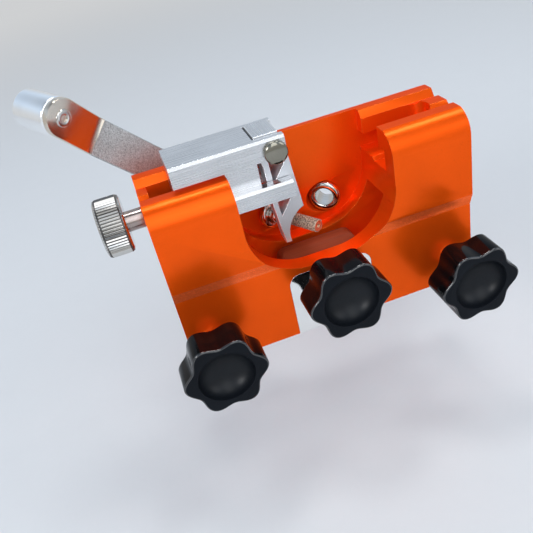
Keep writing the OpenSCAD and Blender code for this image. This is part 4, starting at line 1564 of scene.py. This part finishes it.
@dataclass
class Crank:
    """The cranked arm with its nut, and the grip that turns on a tubular rivet.

    Attributes:
        hub: Place of the arm's front face along the spindle.
        turn: Angle of the arm from straight up, in degrees.
        width: Width of the arm.
        thick: Thickness of the arm.
        reach: Distance from the spindle to the grip.
        offset: How far the outer part stands behind the hub.
        bend_in: Distance of the first bend from the spindle.
        bend_out: Distance of the second bend from the spindle.
        lean: Lean of the outer part toward the tool, in degrees.
        grip_r: Radius of the grip.
        grip_l: Length of the grip.
        rivet_r: Radius of the rivet.
        soft: Softness of the bends.
        ease: Easing of the strip's edges.
        blunt: How much wider the strip is than its exact outline.
        polish_in: How far inside the second bend the polish starts.
        grip_gap: Gap between the arm and the grip.
        grip_fit: Play of the grip on the rivet.
        grip_bevels: Bevels at the grip's inner and outer ends.
        well_w: Width of the well round the rivet's head.
        well_h: Depth of the well.
        rivet_bore: Radius of the rivet's bore.
        foot_r: Radius of the rivet's foot at the arm.
        foot_end_r: Radius of the foot's end.
        foot_h: Height of the foot.
        head_in: How far the rivet's head lies inside the grip's length.
        head_w: Width of the rivet's head round its shaft.
        head_h: Height of the rivet's head.
    """

    hub: float
    turn: float = 42.0
    width: float = 15.0
    thick: float = 2.5
    reach: float = 84.0
    offset: float = 10.5
    bend_in: float = 20.0
    bend_out: float = 67.0
    lean: float = 12.0
    grip_r: float = 7.5
    grip_l: float = 18.0
    rivet_r: float = 2.5
    soft: float = 2.2
    ease: float = 0.35
    blunt: float = 0.02
    polish_in: float = 1.8
    grip_gap: float = 0.3
    grip_fit: float = 0.05
    grip_bevels: Point = (0.6, 1.2)
    well_w: float = 2.1
    well_h: float = 2.9
    rivet_bore: float = 1.4
    foot_r: float = 3.6
    foot_end_r: float = 3.1
    foot_h: float = 0.7
    head_in: float = 2.4
    head_w: float = 1.7
    head_h: float = 1.4

    @property
    def arm_frame(self) -> Matrix:
        """Frame of the arm, with +X out along it and +Z back along the spindle."""
        return guide_frame(-1) @ Matrix.Rotation(-math.radians(90.0 + self.turn), 4, "Z")

    @property
    def grip_frame(self) -> Matrix:
        """Frame of the grip, with +Z back from the arm.

        Returns:
            The frame.
        """
        drop = math.tan(math.radians(self.lean)) * (self.reach - self.bend_out)
        seat = Matrix.Translation((self.reach, 0.0, self.hub + self.offset - drop))
        return self.arm_frame @ seat @ Matrix.Rotation(math.radians(self.lean), 4, "Y")

    def path(self, r: float) -> float:
        """Height of the arm's front face, with soft bends.

        Args:
            r: Distance from the spindle.

        Returns:
            Place along the spindle.
        """
        slope = self.offset / (self.bend_out - self.bend_in)
        fall = -math.tan(math.radians(self.lean))

        def ramp(x: float) -> float:
            """Rises softly from zero once x is over zero."""
            return 0.5 * (x + math.sqrt(x * x + self.soft * self.soft))

        return self.hub + slope * ramp(r - self.bend_in) + (fall - slope) * ramp(r - self.bend_out)

    def arm(self) -> bpy.types.Object:
        """Bends the arm from strip, with round ends and eased edges.

        Returns:
            The piece.
        """
        half, step, end_steps, long_steps = self.width / 2, 0.01, 14, 60
        stations = [-half * math.cos(a) for a in quarter(end_steps)[:-1]]
        stations += [self.reach * k / long_steps for k in range(long_steps + 1)]
        stations += [self.reach + half * math.sin(a) for a in quarter(end_steps)[1:]]
        rings = []
        for r in stations:
            over = max(-r, r - self.reach, 0.0)
            side = math.sqrt(max(half * half - over * over, 0.0)) + self.blunt
            low = self.path(r)
            tilt = math.atan2(self.path(r + step) - self.path(r - step), 2 * step)
            up = Vector((-math.sin(tilt), 0.0, math.cos(tilt)))
            cut = min(self.ease, 0.5 * side)
            corners = [(-side, cut), (-side + cut, 0.0), (side - cut, 0.0), (side, cut)]
            corners += [(-w, self.thick - h) for w, h in corners]
            rings.append([tuple(Vector((r, w, low)) + up * h) for w, h in corners])
        first, last = (
            [tuple(sum((Vector(p) for p in end), Vector()) / len(end))] for end in (rings[0], rings[-1])
        )
        mesh = skin("crank_strip", self.arm_frame, [first, *rings, last], closed=False)
        dressed(mesh, Look.steel, Look.bent_steel)
        to_arm = (Matrix.Scale(MM, 4) @ self.arm_frame).inverted()
        for face in mesh.polygons:
            face.material_index = int((to_arm @ face.center).x > self.bend_out - self.polish_in)
        return show("crank_strip", mesh, "crank", "bare_steel", "crank_arm")

    def handle(self) -> None:
        """Turns the grip and its rivet."""
        base = self.thick + self.grip_gap
        top = base + self.grip_l
        inner, outer = self.grip_bevels
        bore, well, deep = self.rivet_r + self.grip_fit, self.rivet_r + self.well_w, top - self.well_h
        grip = turned("grip_sleeve", self.grip_frame, [
            (bore, base), (self.grip_r - inner, base), (self.grip_r, base + inner),
            (self.grip_r, top - outer), (self.grip_r - outer, top), (well, top), (well, deep),
            (bore, deep)], edge=0.4)
        show("grip_sleeve", dressed(grip, Look.grip), "grip", "brushed_aluminium", "grip")
        head, head_r = self.grip_l - self.head_in + self.thick, self.rivet_r + self.head_w
        end = head + self.head_h
        rivet = turned("tube_rivet", self.grip_frame, [
            (self.rivet_bore, -self.foot_h), (self.foot_end_r, -self.foot_h), (self.foot_r, 0.0),
            (self.rivet_r, 0.0), (self.rivet_r, head), (head_r, head), (head_r, end),
            (self.rivet_bore, end)], edge=0.3, count=64)
        show("tube_rivet", dressed(rivet, Look.rivet), "crank", "bare_steel", "grip_rivet")

    def build(self, solids: dict[str, bpy.types.Object]) -> None:
        """Builds the arm, its fasteners, the grip and the rivet.

        Args:
            solids: The frame's solids by name.
        """
        self.arm()
        self.handle()
        Milled("crank_lock_washer", "crank", "bare_steel", Look.pin, Look.pin, edge=0.2).build(solids)
        Milled("crank_nut", "crank", "polished_steel", Look.nickel_spindle, Look.brushed_edge,
               edge=0.35).build(solids)


@dataclass
class Studio:
    """The pale floor, the soft lights and the camera at the photograph's angle.

    Attributes:
        floor_z: Height of the floor, below the crank's lowest reach.
        floor_reach: Radius of the floor.
        fade: Distances between which the floor takes on the horizon's colour.
        place: Place of the camera.
        azimuth: Turn of the view about the vertical, in degrees.
        elevation: Height of the view above the horizon, in degrees.
        roll: Roll of the picture, in degrees.
        sensor: Width of the camera's sensor.
        lens: Focal length.
        clip: Nearest and farthest distances that the camera sees, in metres.
        target: Point that the lamps face.
        lamps: Name, place, width and power of each square lamp.
        sky: Heights and colours of the sky's stops, from the horizon (0.5) to overhead (1.0).
    """

    floor_z: float = -66.0
    floor_reach: float = 6000.0
    fade: Point = (280.0, 1500.0)
    place: Triple = (-59.372, -230.461, 164.064)
    azimuth: float = 9.3428
    elevation: float = 33.3866
    roll: float = -13.6673
    sensor: float = 36.0
    lens: float = 43.0354
    clip: Point = (0.01, 30.0)
    target: Triple = (0.0, 0.0, 25.0)
    lamps: tuple[tuple[str, Triple, float, float], ...] = (
        ("key", (27.0, 330.0, 1255.0), 220.0, 2.4),
        ("over", (527.0, 107.0, 1147.0), 300.0, 2.4),
        ("top", (60.0, -760.0, 1120.0), 760.0, 3.0),
        ("left", (-1050.0, -880.0, 720.0), 480.0, 7.5),
        ("right", (1300.0, -900.0, 750.0), 900.0, 4.0),
        ("front", (100.0, -900.0, 500.0), 500.0, 1.2),
    )
    sky: tuple[tuple[float, Color], ...] = (
        (0.5, (0.62, 0.63, 0.64)),
        (0.62, (0.62, 0.65, 0.68)),
        (0.78, (0.635, 0.76, 0.92)),
        (1.0, (0.18, 0.20, 0.23)),
    )

    def paper(self) -> bpy.types.Material:
        """Makes the floor's paper, which fades into the sky's colour towards the horizon.

        Returns:
            The floor's material.
        """
        paper = Finish("studio_paper", (0.66, 0.67, 0.68), 0.0, 0.85, pitch=3.0, contrast=0.006,
                       spread=0.02, relief=0.0, mottle=0.004).material()
        graph = Graph(paper.node_tree)
        reach = graph.add("ShaderNodeVectorMath", {0: graph.add("ShaderNodeTexCoord").outputs["Object"]},
                          operation="LENGTH").outputs["Value"]
        near, far = self.fade
        share = graph.mapped(reach, (near * MM, far * MM), 0.0, 1.0, interpolation_type="SMOOTHSTEP")
        haze = graph.add("ShaderNodeEmission", {"Color": (*self.sky[0][1], 1.0)}).outputs["Emission"]
        sheet = paper.node_tree.nodes["Principled BSDF"].outputs["BSDF"]
        blend = graph.add("ShaderNodeMixShader", {0: share, 1: sheet, 2: haze}).outputs["Shader"]
        paper.node_tree.links.new(blend, paper.node_tree.nodes["Material Output"].inputs["Surface"])
        return paper

    def floor(self) -> None:
        """Lays a round floor."""
        bm = bmesh.new()
        bmesh.ops.create_circle(bm, cap_ends=True, segments=96, radius=self.floor_reach)
        mesh = to_mesh("floor", bm, Matrix.Translation((0.0, 0.0, self.floor_z)))
        mesh.materials.append(self.paper())
        obj = bpy.data.objects.new("floor", mesh)
        bpy.context.scene.collection.objects.link(obj)

    def light(self) -> None:
        """Sets the lamps, and a sky that is pale at the horizon and darker overhead."""
        for name, spot, size, power in self.lamps:
            data = bpy.data.lights.new(name, "AREA")
            data.shape = "SQUARE"
            data.size = size * MM
            data.energy = power
            lamp = bpy.data.objects.new(name, data)
            lamp.location = Vector(spot) * MM
            lamp.rotation_euler = (Vector(self.target) - Vector(spot)).to_track_quat("-Z", "Y").to_euler()
            bpy.context.scene.collection.objects.link(lamp)
        world = bpy.data.worlds.new("studio")
        world.use_nodes = True
        graph = Graph(world.node_tree)
        way = graph.add("ShaderNodeTexCoord").outputs["Generated"]
        rise = graph.add("ShaderNodeSeparateXYZ", {0: way}).outputs["Z"]
        level = graph.mapped(rise, (-1.0, 1.0), 0.0, 1.0)
        ramp = graph.add("ShaderNodeValToRGB", {"Fac": level})
        stops = ramp.color_ramp.elements
        for stop in self.sky[2:]:
            stops.new(stop[0])
        for stop, (place, color) in zip(stops, self.sky):
            stop.position, stop.color = place, (*color, 1.0)
        sheet = world.node_tree.nodes["Background"]
        world.node_tree.links.new(ramp.outputs["Color"], sheet.inputs["Color"])
        bpy.context.scene.world = world

    def camera(self) -> None:
        """Stands the camera where the photograph was taken from."""
        data = bpy.data.cameras.new("camera")
        data.sensor_width = self.sensor
        data.lens = self.lens
        turn, rise = math.radians(self.azimuth), math.radians(self.elevation)
        flat = math.cos(rise)
        forward = Vector((math.sin(turn) * flat, math.cos(turn) * flat, -math.sin(rise)))
        camera = bpy.data.objects.new("camera", data)
        camera.location = Vector(self.place) * MM
        camera.rotation_mode = "QUATERNION"
        level = forward.to_track_quat("-Z", "Y")
        camera.rotation_quaternion = level @ Quaternion((0.0, 0.0, 1.0), math.radians(self.roll))
        data.clip_start, data.clip_end = self.clip
        bpy.context.scene.collection.objects.link(camera)
        bpy.context.scene.camera = camera

    def build(self) -> None:
        """Builds the floor, lights and camera, and sets the plain view transform."""
        self.floor()
        self.light()
        self.camera()
        bpy.context.scene.view_settings.view_transform = "Standard"


def clear_scene() -> None:
    """Removes what a new file holds."""
    for obj in list(bpy.data.objects):
        bpy.data.objects.remove(obj)


def main() -> None:
    """Loads the frame and builds every sub-assembly."""
    logging.basicConfig(level=logging.INFO, format="%(name)s: %(message)s")
    clear_scene()
    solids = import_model()["nodes"]
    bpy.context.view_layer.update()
    growth = Growth()
    spindle = Spindle()
    crank = Crank(spindle.hub)
    axis = crank.grip_frame.to_3x3() @ Vector((0.0, 0.0, 1.0))
    Look.set_grip(tuple(axis))
    Body().build(solids)
    left = Clamp("left", x=-54.0, z=0.0, face_y=-48.0, tip_y=-6.8, thread_y=-9.8, tip_r=2.5)
    right = replace(left, label="right", x=54.0)
    center = Clamp("center", x=0.0, z=12.5, face_y=-46.0, tip_y=-9.5, thread_y=-15.4, tip_r=4.0)
    for clamp in (left, right, center):
        clamp.knob()
        clamp.screw(growth)
        if clamp is not center:
            clamp.pad()
    ChainJaw().build(solids)
    PawlSlide().build(solids, growth)
    Adjuster().build(solids, growth)
    spindle.build(solids, growth)
    crank.build(solids)
    Studio().build()


if __name__ == "__main__":
    main()
